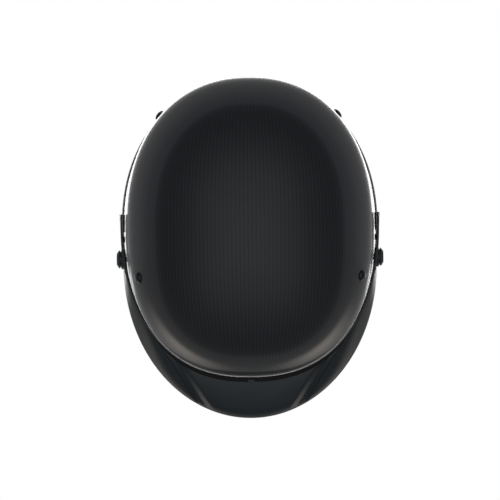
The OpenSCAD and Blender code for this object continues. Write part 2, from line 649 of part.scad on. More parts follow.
washer_face = boss_face + fit / 2;
knob_seat = washer_face + washer_thick;
module screw() color(steel) at_axis(insert_face)
    cylinder(d = screw_d, h = knob_seat + knob_edge - insert_face);
module left_screw() screw();
module right_screw() mirror([1, 0, 0]) screw();
module washer() color(steel) at_axis(washer_face) difference() {
    cylinder(d = washer_d, h = washer_thick);
    cylinder(d = screw_d + 2 * screw_clear, h = drill, center = true);
}
module left_washer() washer();
module right_washer() mirror([1, 0, 0]) washer();
module knob() color(plastic) at_axis(knob_seat) difference() {
    union() {
        translate([0, 0, fit / 2]) cylinder(d = knob_d, h = knob_edge - fit / 2);
        translate([0, 0, knob_edge]) cylinder(d1 = knob_d, d2 = knob_face_d, h = knob_height - knob_edge);
    }
    for (i = [0:knob_notches - 1]) rotate(360 * i / knob_notches)
        translate([knob_d / 2 + notch_d / 4, 0, 0]) cylinder(d = notch_d, h = drill, center = true);
    translate([-slot_w / 2, -knob_d, knob_height - slot_depth]) cube([slot_w, 2 * knob_d, drill]);
    translate([0, 0, -1]) cylinder(d = screw_d, h = knob_edge + 1);
}
module left_knob() knob();
module right_knob() mirror([1, 0, 0]) knob();

rivet_places = [[-rivet_front_y, rivet_front_z], [half_length - rivet_rear_in, rivet_rear_z]];
web_at_rivet = shell_wall + web_dip + web_thick / 2;
rivet_depth = web_at_rivet + web_thick / 2 + curved_fit + rivet_washer_thick;
// Height of a rivet's closed tail, and how far it spreads beyond the shank
rivet_tail = 0.8;
rivet_spread = 1.2;
module strap_rivets() color(steel) for (is_right = [false, true]) mirrored(is_right)
    for (place = rivet_places) at_rivet(place) {
        ball = (pow(rivet_head_d / 2, 2) + pow(rivet_head_rise, 2)) / 2 / rivet_head_rise;
        translate([0, 0, fit]) intersection() {
            cylinder(d = rivet_head_d, h = 2 * rivet_head_rise);
            translate([0, 0, rivet_head_rise - ball]) sphere(ball);
        }
        translate([0, 0, -rivet_depth]) cylinder(d = rivet_shank_d, h = rivet_depth + 2 * fit);
        translate([0, 0, -rivet_depth - rivet_tail])
            cylinder(d = rivet_shank_d + 2 * rivet_spread, h = rivet_tail);
    }
module rivet_washers() color(steel) for (is_right = [false, true]) mirrored(is_right)
    for (place = rivet_places) at_rivet(place) translate([0, 0, -rivet_depth + fit / 2]) difference() {
        cylinder(d = rivet_washer_d, h = rivet_washer_thick);
        cylinder(d = rivet_shank_d + 2 * fit, h = drill, center = true);
    }

// Chin strap in the XZ plane: two straight sides that meet a bend under the chin
divider_x = half_width - divider_in;
chin_radius = divider_x - chin_in;
chin_centre_z = divider_z - sqrt(pow(strap_side, 2) + pow(chin_radius, 2) - pow(divider_x, 2));
to_divider = [divider_x, divider_z - chin_centre_z];
tangent = atan2(to_divider.y, to_divider.x) - acos(chin_radius / norm(to_divider));
lean = -tangent;
// Places on the left side: out is away from the head, y along the webbing's width, up towards the helmet
module side_frame() translate([divider_x, strap_y, divider_z]) rotate([0, lean, 0]) children();
function side_point(out, y, up) = [divider_x, strap_y, divider_z]
    + out * [cos(lean), 0, -sin(lean)] + y * [0, 1, 0] + up * [sin(lean), 0, cos(lean)];
bar_reach = norm([bar_w, divider_thick]) / 2;
bar_loop = bar_reach + seat + web_thick / 2;
// Where the webbing leaves the divider's plate above its bar, and how high it lies there
plate_over = divider_margin + bar_w / 2 + fit;
plate_lift = divider_thick / 2 + web_thick / 2 + fit;

// A webbing leg: its rivet, where it leaves the rim, the angle of its slot in the divider, and how deep it
// lies halfway down, where the front leg passes over the visor's insert
web_over = 8;           // length of the webbing above its rivet
front_leg = [rivet_places[0], front_exit_y, 26,
    seat_face - insert_face + curved_fit + web_thick / 2];
rear_leg = [rivet_places[1], rear_exit_y, -40, web_in];
function leg_on_wall(leg) = let (rivet = leg[0], share = leg[1] / half_length, low = rim_z(share) - trim_wall,
    start = [rivet.x, rivet.y], stop = [leg[1], low], dir = unit(stop - start), over = start - dir * web_over)
    [for (i = [0:7]) let (p = mix(over, stop, i / 7),
        depth = i < 4 ? mix(web_at_rivet, leg[3], ease(clamp((i - 1) / 2, 0, 1)))
            : mix(leg[3], web_in, ease(clamp((i - 4) / 2, 0, 1))),
        n = wall_normal(p.x, max(p.y, rim_z(share) + trim_wall), depth), next = p + dir,
        run = unit(wall_point(next.x, next.y, 0) - wall_point(p.x, p.y, 0)))
        [wall_point(p.x, p.y, 0) - n * depth, unit(cross(n, run)), n]];
function leg_in_divider(leg) = let (dir = [sin(-leg[2]), cos(leg[2])], wide = [dir.y, -dir.x],
    w = [0, wide.x, 0] + wide.y * [sin(lean), 0, cos(lean)],
    close = web_thick / 2, join = 3 * bar_loop,
    route = concat(
        [[sewn_length + web_thick, close + 2 * seat], [join, close + seat], [plate_over, plate_lift]],
        [for (a = [30:-30:-210]) [bar_loop * sin(a), bar_loop * cos(a)]],
        [[plate_over, -plate_lift], [join, -close], [sewn_length, -close]]))
    [for (i = [0:len(route) - 1]) let (a = route[max(0, i - 1)], b = route[min(len(route) - 1, i + 1)],
        p = route[i], d = unit(b - a), s = bar_spread + p.x,
        n = d.y * ([0, dir.x, 0] + dir.y * [sin(lean), 0, cos(lean)]) - d.x * [cos(lean), 0, -sin(lean)])
        [side_point(p.y, s * dir.x, s * dir.y), w, n]];
module leg(data) color(webbing) difference() {
    ribbon(concat(leg_on_wall(data), leg_in_divider(data)));
    at_rivet(data[0]) cylinder(d = rivet_shank_d + 2 * fit, h = 4 * web_at_rivet, center = true);
}
module left_front_leg() leg(front_leg);
module left_rear_leg() leg(rear_leg);
module right_front_leg() mirror([1, 0, 0]) leg(front_leg);
module right_rear_leg() mirror([1, 0, 0]) leg(rear_leg);

// Divider: a flat three-armed plate with a slot behind each bar
bar_length = web_w + 2 * slot_clear;
slot_gap = bar_loop + web_thick / 2 + 0.5 - bar_w / 2;
module bar_arm(solid) {
    if (solid) for (end = [-1, 1]) translate([end * bar_length / 2, -slot_gap / 2])
        circle(d = 2 * divider_margin + slot_gap + bar_w);
    if (solid) translate([-bar_length / 2, -slot_gap - bar_w / 2 - divider_margin])
        square([bar_length, slot_gap + bar_w + divider_margin]);
    else translate([-bar_length / 2, -slot_gap - bar_w / 2]) square([bar_length, slot_gap]);
}
module divider() color(plastic) side_frame() rotate([0, 90, 0]) rotate(90)
    translate([0, 0, -divider_thick / 2]) linear_extrude(divider_thick) difference() {
        union() {
            rotate(180) bar_arm(true);
            for (leg = [front_leg, rear_leg]) rotate(leg[2]) translate([0, bar_spread]) bar_arm(true);
            polygon([[-bar_length / 2, 4], [bar_length / 2, 4], [10, bar_spread - 4], [-10, bar_spread - 4]]);
        }
        rotate(180) bar_arm(false);
        for (leg = [front_leg, rear_leg]) rotate(leg[2]) translate([0, bar_spread]) bar_arm(false);
    }
module left_divider() divider();
module right_divider() mirror([1, 0, 0]) divider();

// Buckle, in the side frame with up as its length
bar_radius = strap_bar_d / 2;
loop_radius = bar_radius + 0.25 + web_thick / 2;
web_loop_end = bar_loop + web_thick / 2;
buckle_top = -short_strap_length;
housing_top = buckle_top + loop_radius + web_thick / 2 + 0.6;
housing_end = housing_top - housing_length;
inner_half = web_w / 2 + slot_clear;
floor_face = -tongue_thick / 2 - tongue_clear;
heel_length = spring_d + 3.5;
eye_radius = pin_d / 2 + 1.5;
pin_up = buckle_top - web_loop_end - heel_length - 2;
pin_out = tongue_thick / 2 + tooth_height + tongue_clear + eye_radius;
spring_up = pin_up + eye_radius + seat + spring_d / 2;
pawl_up = pin_up - 15;
lever_end = housing_end - 1;
travel = travel_teeth * tooth_pitch;
tongue_tip = pawl_up + travel + tooth_pitch;
tail_top = housing_end - travel - seat - fit;
tail_bar = tail_top - slot_gap - tongue_tail;

module short_strap() color(webbing) side_frame() translate([0, web_w / 2, 0]) rotate([90, 0, 0])
    linear_extrude(web_w) difference() {
        union() {
            circle(web_loop_end);
            translate([0, buckle_top]) circle(web_loop_end);
            translate([-web_loop_end, buckle_top]) square([2 * web_loop_end, -buckle_top]);
        }
        room = web_loop_end - web_thick;
        circle(room);
        translate([0, buckle_top]) circle(room);
        translate([-room, buckle_top]) square([2 * room, -buckle_top]);
    }

// Rails that guide the tongue's edges, and the lips over them at the mouth
rail_length = 16;
lip_length = 6;
lip_thick = 1.2;
lip_reach = 1.4;
room_half = tongue_w / 2 + tongue_clear;
module buckle_housing() color(plastic) side_frame() difference() {
    union() {
        floor_length = buckle_top - loop_radius - web_thick - housing_end;
        translate([floor_face - housing_floor, -inner_half - bite, housing_end])
            cube([housing_floor, 2 * (inner_half + bite), floor_length]);
        for (side = [0, 1]) mirror([0, side, 0]) {
            translate([floor_face - housing_floor, inner_half, housing_end])
                cube([housing_rise - floor_face + housing_floor, housing_wall, housing_length]);
            translate([floor_face - bite, room_half, housing_end])
                cube([tongue_thick + 2 * tongue_clear + bite, inner_half - room_half + bite, rail_length]);
            translate([tongue_thick / 2 + tongue_clear, tongue_w / 2 - lip_reach, housing_end])
                cube([lip_thick, inner_half - tongue_w / 2 + lip_reach + bite, lip_length]);
        }
        translate([0, inner_half + bite, buckle_top]) rotate([90, 0, 0])
            cylinder(r = bar_radius, h = 2 * (inner_half + bite));
    }
    translate([pin_out, inner_half + 2 * housing_wall, pin_up]) rotate([90, 0, 0])
        cylinder(d = pin_d + 2 * pin_clear, h = 2 * (inner_half + 2 * housing_wall));
}
module lever_pin() color(steel) side_frame() translate([pin_out, inner_half + housing_wall, pin_up])
    rotate([90, 0, 0]) cylinder(d = pin_d, h = 2 * (inner_half + housing_wall));

// Lever: an eye on the pin, a heel that the spring lifts, a cover plate and the pawl below it
lever_half = inner_half - lever_clear;
lever_face = housing_rise + 0.6;
lever_web = 2;
pawl_face = tongue_thick / 2 + tongue_clear;
tab_slot = 2.4;
module buckle_lever() color(steel) side_frame() translate([0, lever_half, 0]) rotate([90, 0, 0])
    difference() {
        union() {
            linear_extrude(2 * lever_half) {
                translate([pin_out, pin_up]) circle(eye_radius);
                translate([pin_out, pin_up]) square([lever_wall, heel_length]);
                translate([pin_out, pin_up]) square([lever_face - pin_out, lever_web]);
                translate([lever_face - lever_wall, lever_end])
                    square([lever_wall, pin_up + lever_web - lever_end]);
            }
            linear_extrude(2 * lever_half)
                polygon([[pawl_face, pawl_up + 0.75], [pawl_face, pawl_up + 0.3],
                    [lever_face - lever_wall / 2, pawl_up - 2], [lever_face - lever_wall / 2, pawl_up + 3]]);
        }
        translate([pin_out, pin_up, -1]) cylinder(d = pin_d + 2 * pin_clear, h = drill);
        translate([lever_face - 1.5 * lever_wall, lever_end + 1.6, lever_half - tab_w / 2 - 2 * fit])
            cube([2 * lever_wall, tab_slot, tab_w + 4 * fit]);
    }
// Release tab: a ribbon folded through the lever's slot
tab_thick = 1.2;
module release_tab() color([0.6, 0.1, 0.1]) side_frame() translate([0, tab_w / 2, 0]) rotate([90, 0, 0])
    linear_extrude(tab_w) translate([lever_face, lever_end]) polygon(stroke([
        [1.1, 7], [1.1, 3.8], [-0.6, 2.8], [-lever_wall - 1.1, 1.6], [-lever_wall - 1.1, -2],
        [-0.9, -5], [-0.9, 7 - tab_length]], tab_thick));
// Spring: a wire coil that stands on the floor below the lever's heel
module lever_spring() color(steel) side_frame() translate([floor_face, 0, spring_up]) rotate([0, 90, 0]) {
    height = pin_out - floor_face - spring_wire - fit;
    turn_steps = 8;
    mid = (spring_d - spring_wire) / 2;
    run_of([for (i = [0:turn_steps * spring_turns]) let (a = 360 * i / turn_steps) [for (k = [0:5])
        let (out = mid + spring_wire / 2 * cos(60 * k))
        [out * cos(a), out * sin(a),
         spring_wire / 2 * (1 + sin(60 * k)) + height * i / turn_steps / spring_turns]]], false);
}

tail_half = inner_half + housing_wall;
tooth_inset = 2;
module ratchet_tongue() color(plastic) side_frame() {
    translate([-tongue_thick / 2, -tongue_w / 2, tail_top - tongue_tail / 2])
        cube([tongue_thick, tongue_w, tongue_tip - tail_top + tongue_tail / 2]);
    translate([tongue_thick / 2 - bite, tongue_w / 2 - tooth_inset, 0]) rotate([90, 0, 0])
        linear_extrude(tongue_w - 2 * tooth_inset) for (i = [-travel_teeth:travel_teeth + 1])
            translate([0, pawl_up + (i - 0.5) * tooth_pitch]) polygon([[0, 0.05 * tooth_pitch],
                [tooth_height + bite, 0.25 * tooth_pitch], [tooth_height + bite, 0.35 * tooth_pitch],
                [0, 0.45 * tooth_pitch]]);
    difference() {
        translate([-divider_thick / 2, -tail_half, tail_bar - bar_w / 2])
            cube([divider_thick, 2 * tail_half, tail_top - tail_bar + bar_w / 2]);
        translate([-divider_thick, -inner_half, tail_bar + bar_w / 2])
            cube([2 * divider_thick, 2 * inner_half, slot_gap]);
    }
}

// Long strap: the loose end, the loop on the right divider, the bend and the loop on the tongue
function bend_point(angle) = [chin_radius * sin(angle), chin_centre_z - chin_radius * cos(angle)];
function flat_side(p) =
    [divider_x + p.x * cos(lean) + p.y * sin(lean), divider_z - p.x * sin(lean) + p.y * cos(lean)];
function flat_mirror(p) = [-p.x, p.y];
layer = web_thick + seat;
bend_half = 90 - lean;
join_up = -9.5;
long_route = concat(
    [for (p = [[layer, -loose_end], [layer, join_up], [bar_loop - 0.2, -4]]) flat_mirror(flat_side(p))],
    [for (a = [0:30:180]) flat_mirror(flat_side(bar_loop * [cos(a), sin(a)]))],
    [for (p = [[0.2 - bar_loop, -4], [0, join_up], [0, 6 - strap_side]]) flat_mirror(flat_side(p))],
    [for (i = [0:16]) bend_point(mix(-bend_half, bend_half, i / 16))],
    [flat_side([0.4 - bar_loop, tail_bar - 5])],
    [for (a = [180:-30:0]) flat_side([0, tail_bar] + bar_loop * [cos(a), sin(a)])],
    [for (p = [[bar_loop - 0.4, tail_bar - 5], [layer, tail_bar - 8.5]]) flat_side(p)]);
module long_strap() color(webbing) translate([0, strap_y + web_w / 2, 0]) rotate([90, 0, 0])
    linear_extrude(web_w) polygon(stroke(long_route, web_thick));

// Chin pad: a sleeve that swells between its ends and at its middle, with a flat slot for the strap
module chin_pad() color(cloth) {
    steps = 14;
    sides = 12;
    slot_half = [web_w / 2 + 2 * fit, web_thick / 2 + seat];
    slot_over = 3;
    place = function (angle, out, y) [(chin_radius + out) * sin(angle), strap_y + y,
        chin_centre_z - (chin_radius + out) * cos(angle)];
    difference() {
        run_of([for (i = [0:steps]) let (w = i / steps, angle = mix(-chin_pad_right, chin_pad_left, w),
            full = 0.55 + 0.45 * pow(max(0, 1 - pow(abs(2 * w - 1), 5)), 0.5))
            [for (k = [0:sides - 1]) let (b = 360 * k / sides)
                place(angle, (web_thick / 2 + chin_pad_thick * full) * signed_power(sin(b), 0.7),
                      chin_pad_w / 2 * (0.9 + 0.1 * full) * signed_power(cos(b), 0.5))]], false);
        run_of([for (i = [0:2 * steps])
            let (angle = mix(-chin_pad_right - slot_over, chin_pad_left + slot_over, i / steps / 2))
            [for (c = [[1, 1], [1, -1], [-1, -1], [-1, 1]])
                place(angle, -c.y * slot_half.y, c.x * slot_half.x)]], false);
    }
}

// Length adjuster: a flat frame whose bars lie outside both layers of webbing
slider_h = 10;
slider_bar = 2;
slider_plate = 1.3;
module strap_slider() color(steel) mirror([1, 0, 0]) side_frame()
    translate([0, 0, -slider_drop - slider_h / 2]) {
    inner = -web_thick / 2 - seat - slider_plate;
    outer = layer + web_thick / 2 + seat;
    room = web_w / 2 + 2 * fit;
    for (side = [0, 1]) mirror([0, side, 0])
        translate([inner, room, 0]) cube([outer + slider_plate - inner, slider_bar, slider_h]);
    for (face = [inner, outer], up = [0, slider_h - slider_bar])
        translate([face, -room - bite, up]) cube([slider_plate, 2 * (room + bite), slider_bar]);
}
keeper_wall = 1.4;
module strap_keeper() color(rubber) mirror([1, 0, 0]) side_frame() translate([layer / 2, 0, -keeper_drop])
    difference() {
        room = [layer + web_thick + 2 * seat, web_w + 4 * fit, keeper_h];
        cube(room + [2 * keeper_wall, 2 * keeper_wall, 0], center = true);
        cube(room + [0, 0, 1], center = true);
    }

outer_shell();
edge_trim();
eps_liner();
rim_binding();
brow_pad();
left_side_pad();
right_side_pad();
nape_pad();
crown_pad();
visor();
visor_bumpers();
visor_inserts();
visor_spacers();
left_screw();
right_screw();
left_knob();
right_knob();
left_washer();
right_washer();
strap_rivets();
rivet_washers();
left_front_leg();
left_rear_leg();
right_front_leg();
right_rear_leg();
left_divider();
right_divider();
short_strap();
buckle_housing();
lever_pin();
lever_spring();
buckle_lever();
release_tab();
ratchet_tongue();
long_strap();
chin_pad();
strap_slider();
strap_keeper();
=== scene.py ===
import math
import bmesh
import bpy
from mathutils import Matrix, Vector


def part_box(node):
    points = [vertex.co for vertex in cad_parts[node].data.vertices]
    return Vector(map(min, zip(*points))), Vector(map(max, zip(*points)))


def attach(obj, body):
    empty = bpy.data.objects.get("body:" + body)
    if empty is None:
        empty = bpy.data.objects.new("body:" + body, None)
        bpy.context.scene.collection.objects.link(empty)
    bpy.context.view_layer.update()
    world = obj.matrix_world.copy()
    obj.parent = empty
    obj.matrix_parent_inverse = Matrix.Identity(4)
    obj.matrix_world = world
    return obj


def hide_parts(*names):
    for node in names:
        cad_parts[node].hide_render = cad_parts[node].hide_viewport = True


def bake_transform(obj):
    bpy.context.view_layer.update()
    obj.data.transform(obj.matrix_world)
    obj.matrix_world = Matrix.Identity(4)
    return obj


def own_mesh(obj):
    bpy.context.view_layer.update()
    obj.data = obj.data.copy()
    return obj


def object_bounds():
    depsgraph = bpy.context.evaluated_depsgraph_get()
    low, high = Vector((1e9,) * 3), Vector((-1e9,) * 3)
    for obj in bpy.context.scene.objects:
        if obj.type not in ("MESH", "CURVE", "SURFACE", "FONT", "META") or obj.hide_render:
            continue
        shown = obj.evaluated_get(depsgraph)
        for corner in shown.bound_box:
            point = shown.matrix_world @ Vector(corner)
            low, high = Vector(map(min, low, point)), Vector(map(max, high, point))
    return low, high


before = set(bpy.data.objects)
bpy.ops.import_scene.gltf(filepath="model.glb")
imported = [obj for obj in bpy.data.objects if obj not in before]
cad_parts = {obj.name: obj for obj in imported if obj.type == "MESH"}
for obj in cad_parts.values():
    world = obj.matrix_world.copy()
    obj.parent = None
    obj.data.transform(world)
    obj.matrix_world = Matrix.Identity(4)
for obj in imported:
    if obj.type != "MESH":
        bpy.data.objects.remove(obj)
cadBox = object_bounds()
mm = 0.001  # lengths below are millimetres, and meshes are written in metres
print("frame loaded:", len(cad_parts), "nodes")


# Camera, floor and lights

view = {
    "frame": 500,                    # pixels across and down
    "metresPerPixel": 0.000915,      # the shell's 246 pixels are 225 mm
    "centrePixel": (249.75, 226.5),  # the helmet's middle in the picture
    "height": 4.5,                   # metres, far enough for an almost parallel view
    "turn": 0.6,                     # degrees that the helmet lies turned to the left
}
camData = bpy.data.cameras.new("camera")
camera = bpy.data.objects.new("camera", camData)
bpy.context.scene.collection.objects.link(camera)
frameWidth = view["frame"] * view["metresPerPixel"]
camData.lens = camData.sensor_width * view["height"] / frameWidth
camData.clip_end = 100
toCentre = Vector((view["frame"] / 2 - view["centrePixel"][0], view["centrePixel"][1] - view["frame"] / 2, 0))
toCentre *= view["metresPerPixel"]
turnBack = Matrix.Rotation(math.radians(-view["turn"]), 4, "Z")
camera.matrix_world = Matrix.Translation(turnBack @ toCentre + Vector((0, 0, view["height"]))) @ turnBack
bpy.context.scene.camera = camera


def linear(hexColour):
    parts = [int(hexColour[i:i + 2], 16) / 255 for i in (1, 3, 5)]
    return tuple(p / 12.92 if p <= 0.04045 else ((p + 0.055) / 1.055) ** 2.4 for p in parts) + (1.0,)


def plug(node, values):
    # Gives a node's inputs their values, or links them to a socket or to a node's first output in use
    for name, value in values.items():
        if isinstance(value, bpy.types.Node):
            value = next(socket for socket in value.outputs if socket.enabled)
        if isinstance(value, bpy.types.NodeSocket):
            node.id_data.links.new(value, node.inputs[name])
        else:
            node.inputs[name].default_value = value


def addNode(tree, kind, *values, **settings):
    # Values stand in the order of the node's inputs, or in one dictionary by name or number
    node = tree.nodes.new(kind)
    for name, value in settings.items():
        setattr(node, name, value)
    plug(node, values[0] if values and isinstance(values[0], dict) else dict(enumerate(values)))
    return node


def newMaterial(name):
    material = bpy.data.materials.new(name)
    material.use_nodes = True
    tree = material.node_tree
    return material, tree, tree.nodes["Principled BSDF"], addNode(tree, "ShaderNodeTexCoord").outputs["Object"]


def linked(item):
    bpy.context.scene.collection.objects.link(item)
    return item


studio = {
    "floorDrop": 4,           # mm below the chin pad
    "backclothDepth": 8,      # metres below the origin
    "sheetSize": 12,          # metres
    "backdrop": "#ffffff",    # what the camera sees behind the helmet
    # Brightness of the room by height, 0 at the horizon and 1 overhead, as the helmet's gloss sees it
    "sky": ((0.0, "#505459"), (0.12, "#2c2e32"), (0.35, "#34363a"), (0.62, "#606266"), (0.85, "#98999b"),
            (1.0, "#acaeb0")),
    # The same for the paper by its distance from the middle in metres, stretched front to back
    "paper": ((0.0, "#ffffff"), (0.175, "#ffffff"), (0.2, "#585858"), (0.28, "#505050"), (0.5, "#5a5a5c"),
              (0.9, "#505256")),
    "paperMiddle": -0.025, "paperStretch": 1.3, "paperGlow": 3.4,
    "front": (-0.085, -0.055), "frontColour": "#505050",  # the near paper is dim farther forward than this
    # Painted shadow below the helmet, on the paper and, seen from the camera through the gaps, on the backcloth:
    # half width, half length, middle, softness and the light left in it
    "shade": (0.116, 0.152, -0.015, 0.2, 0.04), "farShade": (0.1138, 0.141, -0.0114, 0.06, 0.008),
    "shadePower": 2.35,       # 2 is an ellipse
    # Soft warm pools of light painted on the paper before the temples
    "bounce": {"place": (0.34, -0.46, 0), "radius": 0.34, "strength": 0.5, "colour": "#fff6ec"},
    "top": {"power": 30, "size": (1.8, 1.4), "place": (0, -0.3, 2.6), "aim": (0, 0, 0.1)},
}


def fillRamp(ramp, stops):
    # Gives a colour ramp its (position, hex colour) stops
    for i, (position, hexColour) in enumerate(stops):
        stop = ramp.elements[i] if i < 2 else ramp.elements.new(position)
        stop.position, stop.color = position, linear(hexColour)


def levelSheet(name, level, stuff):
    half = studio["sheetSize"] / 2
    mesh = bpy.data.meshes.new(name)
    mesh.from_pydata([(x * half, y * half, level) for x, y in ((-1, -1), (1, -1), (1, 1), (-1, 1))], [],
                     [(0, 1, 2, 3)])
    sheet = linked(bpy.data.objects.new(name, mesh))
    material, tree, shader, place = newMaterial(stuff)
    mesh.materials.append(material)
    plug(shader, {"Base Color": linear("#000000"), "Specular IOR Level": 0.0})
    return sheet, tree, shader, addNode(tree, "ShaderNodeSeparateXYZ", place).outputs


def shadeLeft(tree, place, wide, long, middle, soft, left):
    # 1 outside an oval of painted shade and less inside
    parts = []
    for axis, centre, half in (("X", 0.0, wide), ("Y", middle, long)):
        moved = addNode(tree, "ShaderNodeMath", place[axis], centre, operation="SUBTRACT")
        share = addNode(tree, "ShaderNodeMath", moved, half, operation="DIVIDE")
        size = addNode(tree, "ShaderNodeMath", share, operation="ABSOLUTE")
        parts.append(addNode(tree, "ShaderNodeMath", size, studio["shadePower"], operation="POWER"))
    whole = addNode(tree, "ShaderNodeMath", *parts, operation="ADD")
    return addNode(tree, "ShaderNodeMapRange", {"Value": whole, "From Min": 1 - soft, "To Min": left},
                   interpolation_type="SMOOTHSTEP")


def makePaper(level):
    # Matt white paper lit from below like a light table; only the helmet sees it
    sheet, tree, shader, place = levelSheet("paper", level, "whitePaperSweep")
    away = addNode(tree, "ShaderNodeMath", place["X"], operation="ABSOLUTE")
    flat = addNode(tree, "ShaderNodeCombineXYZ", away, place["Y"])
    # Gloss sees the paper bright close round the helmet and dim farther off
    moved = addNode(tree, "ShaderNodeVectorMath", flat, (0, studio["paperMiddle"], 0), operation="SUBTRACT")
    drawn = addNode(tree, "ShaderNodeVectorMath", moved, (1, studio["paperStretch"], 1), operation="DIVIDE")
    near = addNode(tree, "ShaderNodeValToRGB", addNode(tree, "ShaderNodeVectorMath", drawn, operation="LENGTH"))
    fillRamp(near.color_ramp, studio["paper"])
    low, high = studio["front"]
    front = addNode(tree, "ShaderNodeMapRange", {"Value": place["Y"], "From Min": low, "From Max": high})
    dimmed = addNode(tree, "ShaderNodeMix", {0: front, 6: linear(studio["frontColour"]), 7: near}, data_type="RGBA")
    # Painted pools of warm light on the paper, for the shell's gloss to mirror as a highlight
    spot = studio["bounce"]
    gone = addNode(tree, "ShaderNodeVectorMath", flat, spot["place"], operation="DISTANCE")
    warm = addNode(tree, "ShaderNodeMapRange", {
        "Value": gone, "From Max": spot["radius"], "To Min": spot["strength"], "To Max": 0.0},
        interpolation_type="SMOOTHSTEP")
    mirrored = addNode(tree, "ShaderNodeMix", {0: warm, 6: dimmed, 7: linear(spot["colour"])}, data_type="RGBA")
    # Painted shadow: the paper's glow is dark below the helmet, as if the helmet kept the light off it
    lit = shadeLeft(tree, place, *studio["shade"])
    shown = addNode(tree, "ShaderNodeMix", {0: lit, 6: linear("#000000"), 7: mirrored}, data_type="RGBA")
    plug(shader, {"Emission Color": shown, "Emission Strength": studio["paperGlow"]})
    sheet.visible_camera = False


def makeBackcloth(level):
    # White cloth far below with a dark oval of painted shade right behind the helmet; only the camera sees it
    sheet, tree, shader, place = levelSheet("backcloth", level, "whiteBackcloth")
    reach = (view["height"] - level) / view["height"]
    wide, long, middle, soft, left = studio["farShade"]
    lit = shadeLeft(tree, place, wide * reach, long * reach, middle * reach, soft, left)
    shown = addNode(tree, "ShaderNodeMix", {0: lit, 6: linear("#000000"), 7: linear("#ffffff")}, data_type="RGBA")
    plug(shader, {"Emission Color": shown, "Emission Strength": 1.0})
    sheet.visible_glossy = sheet.visible_diffuse = sheet.visible_transmission = sheet.visible_shadow = False


def makeStudio():
    world = bpy.data.worlds.new("studio")
    world.use_nodes = True
    sky = world.node_tree
    up = addNode(sky, "ShaderNodeSeparateXYZ", addNode(sky, "ShaderNodeTexCoord").outputs["Generated"]).outputs["Z"]
    room = addNode(sky, "ShaderNodeValToRGB", up)
    fillRamp(room.color_ramp, studio["sky"])
    seen = addNode(sky, "ShaderNodeLightPath").outputs["Is Camera Ray"]
    plug(sky.nodes["Background"], {"Color": addNode(sky, "ShaderNodeMix", {
        0: seen, 6: room, 7: linear(studio["backdrop"])}, data_type="RGBA")})
    bpy.context.scene.world = world
    bpy.context.scene.view_settings.view_transform = "Standard"
    top = studio["top"]
    data = bpy.data.lights.new("overheadSoftbox", "AREA")
    data.shape, data.size, data.size_y, data.energy = "RECTANGLE", *top["size"], top["power"]
    lamp = linked(bpy.data.objects.new("overheadSoftbox", data))
    lamp.location = top["place"]
    lamp.rotation_mode = "QUATERNION"
    lamp.rotation_quaternion = (Vector(top["aim"]) - Vector(top["place"])).to_track_quat("-Z", "Y")
    lamp.visible_camera = lamp.visible_glossy = False
    makePaper(cadBox[0].z - studio["floorDrop"] * mm)
    makeBackcloth(-studio["backclothDepth"])


makeStudio()
print("studio made")


# Form of the shell: one rule gives every wall that follows it, by its distance inside the outer face

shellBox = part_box("outer_shell")
shell = {
    "halfWidth": 112.5,
    "halfLength": shellBox[1].y / mm,
    "crownHeight": shellBox[1].z / mm,
    "sideFlare": 2.3, "flareShare": 0.8,  # the rim stands out this far beside the ears
    "wall": 3.0,
    "frontSquare": 2.35, "rearSquare": 2.2, "domeSquare": 2.05,  # 2 is an ellipse
    "rim": (46, 4, 0), "widest": (64, 45, 44),                   # heights at brow, ear and nape
    "browTuck": 2, "napeTuck": 7,
}


def mix(a, b, w):
    return a + (b - a) * w


def clamp(v, low=0.0, high=1.0):
    return max(low, min(high, v))


def ease(w):
    return w * w * (3 - 2 * w)


def signedPower(v, p):
    return math.copysign(abs(v) ** p, v)


def planPoint(degrees):
    # Point of the plan outline for half axes of 1: 0 at the left ear, 90 at the nape, -90 at the brow
    c, s = math.cos(math.radians(degrees)), math.sin(math.radians(degrees))
    power = 2 / (shell["frontSquare"] if s < 0 else shell["rearSquare"])
    return signedPower(c, power), signedPower(s, power)


def byShare(share, heights):
    front, side, rear = heights
    return mix(side, front if share < 0 else rear, ease(min(1, abs(share))))


def tuckAt(share):
    return (shell["browTuck"] if share < 0 else shell["napeTuck"]) * share * share


def flareAt(px, down):
    return shell["sideFlare"] * abs(px) ** 8 * ease(min(1, down / shell["flareShare"]))


def lowWall(degrees, up, inBy):
    px, py = planPoint(degrees)
    rise = byShare(py, shell["widest"]) - byShare(py, shell["rim"])
    down = clamp(1 - up / rise, 0, 1.3)
    return Vector(((shell["halfWidth"] - inBy + flareAt(px, down)) * px,
                   (shell["halfLength"] - inBy - tuckAt(py) * down * down) * py,
                   byShare(py, shell["rim"]) + up))


def highWall(degrees, turn, inBy):
    px, py = planPoint(degrees)
    c, s = max(0.0, math.cos(math.radians(turn))), math.sin(math.radians(turn))
    out, rise = c ** (2 / shell["domeSquare"]), s ** (2 / shell["domeSquare"])
    return Vector(((shell["halfWidth"] - inBy) * out * px, (shell["halfLength"] - inBy) * out * py,
                   mix(byShare(py, shell["widest"]), shell["crownHeight"] - inBy, rise)))


def wallAt(degrees, level, inBy, lift=0.0):
    # level is -1 at the rim, 0 at the widest height and 1 at the crown
    if level >= 0:
        return highWall(degrees, 90 * level, inBy)
    py = planPoint(degrees)[1]
    rise = byShare(py, shell["widest"]) - byShare(py, shell["rim"])
    return lowWall(degrees, mix(rise, lift, -level), inBy)


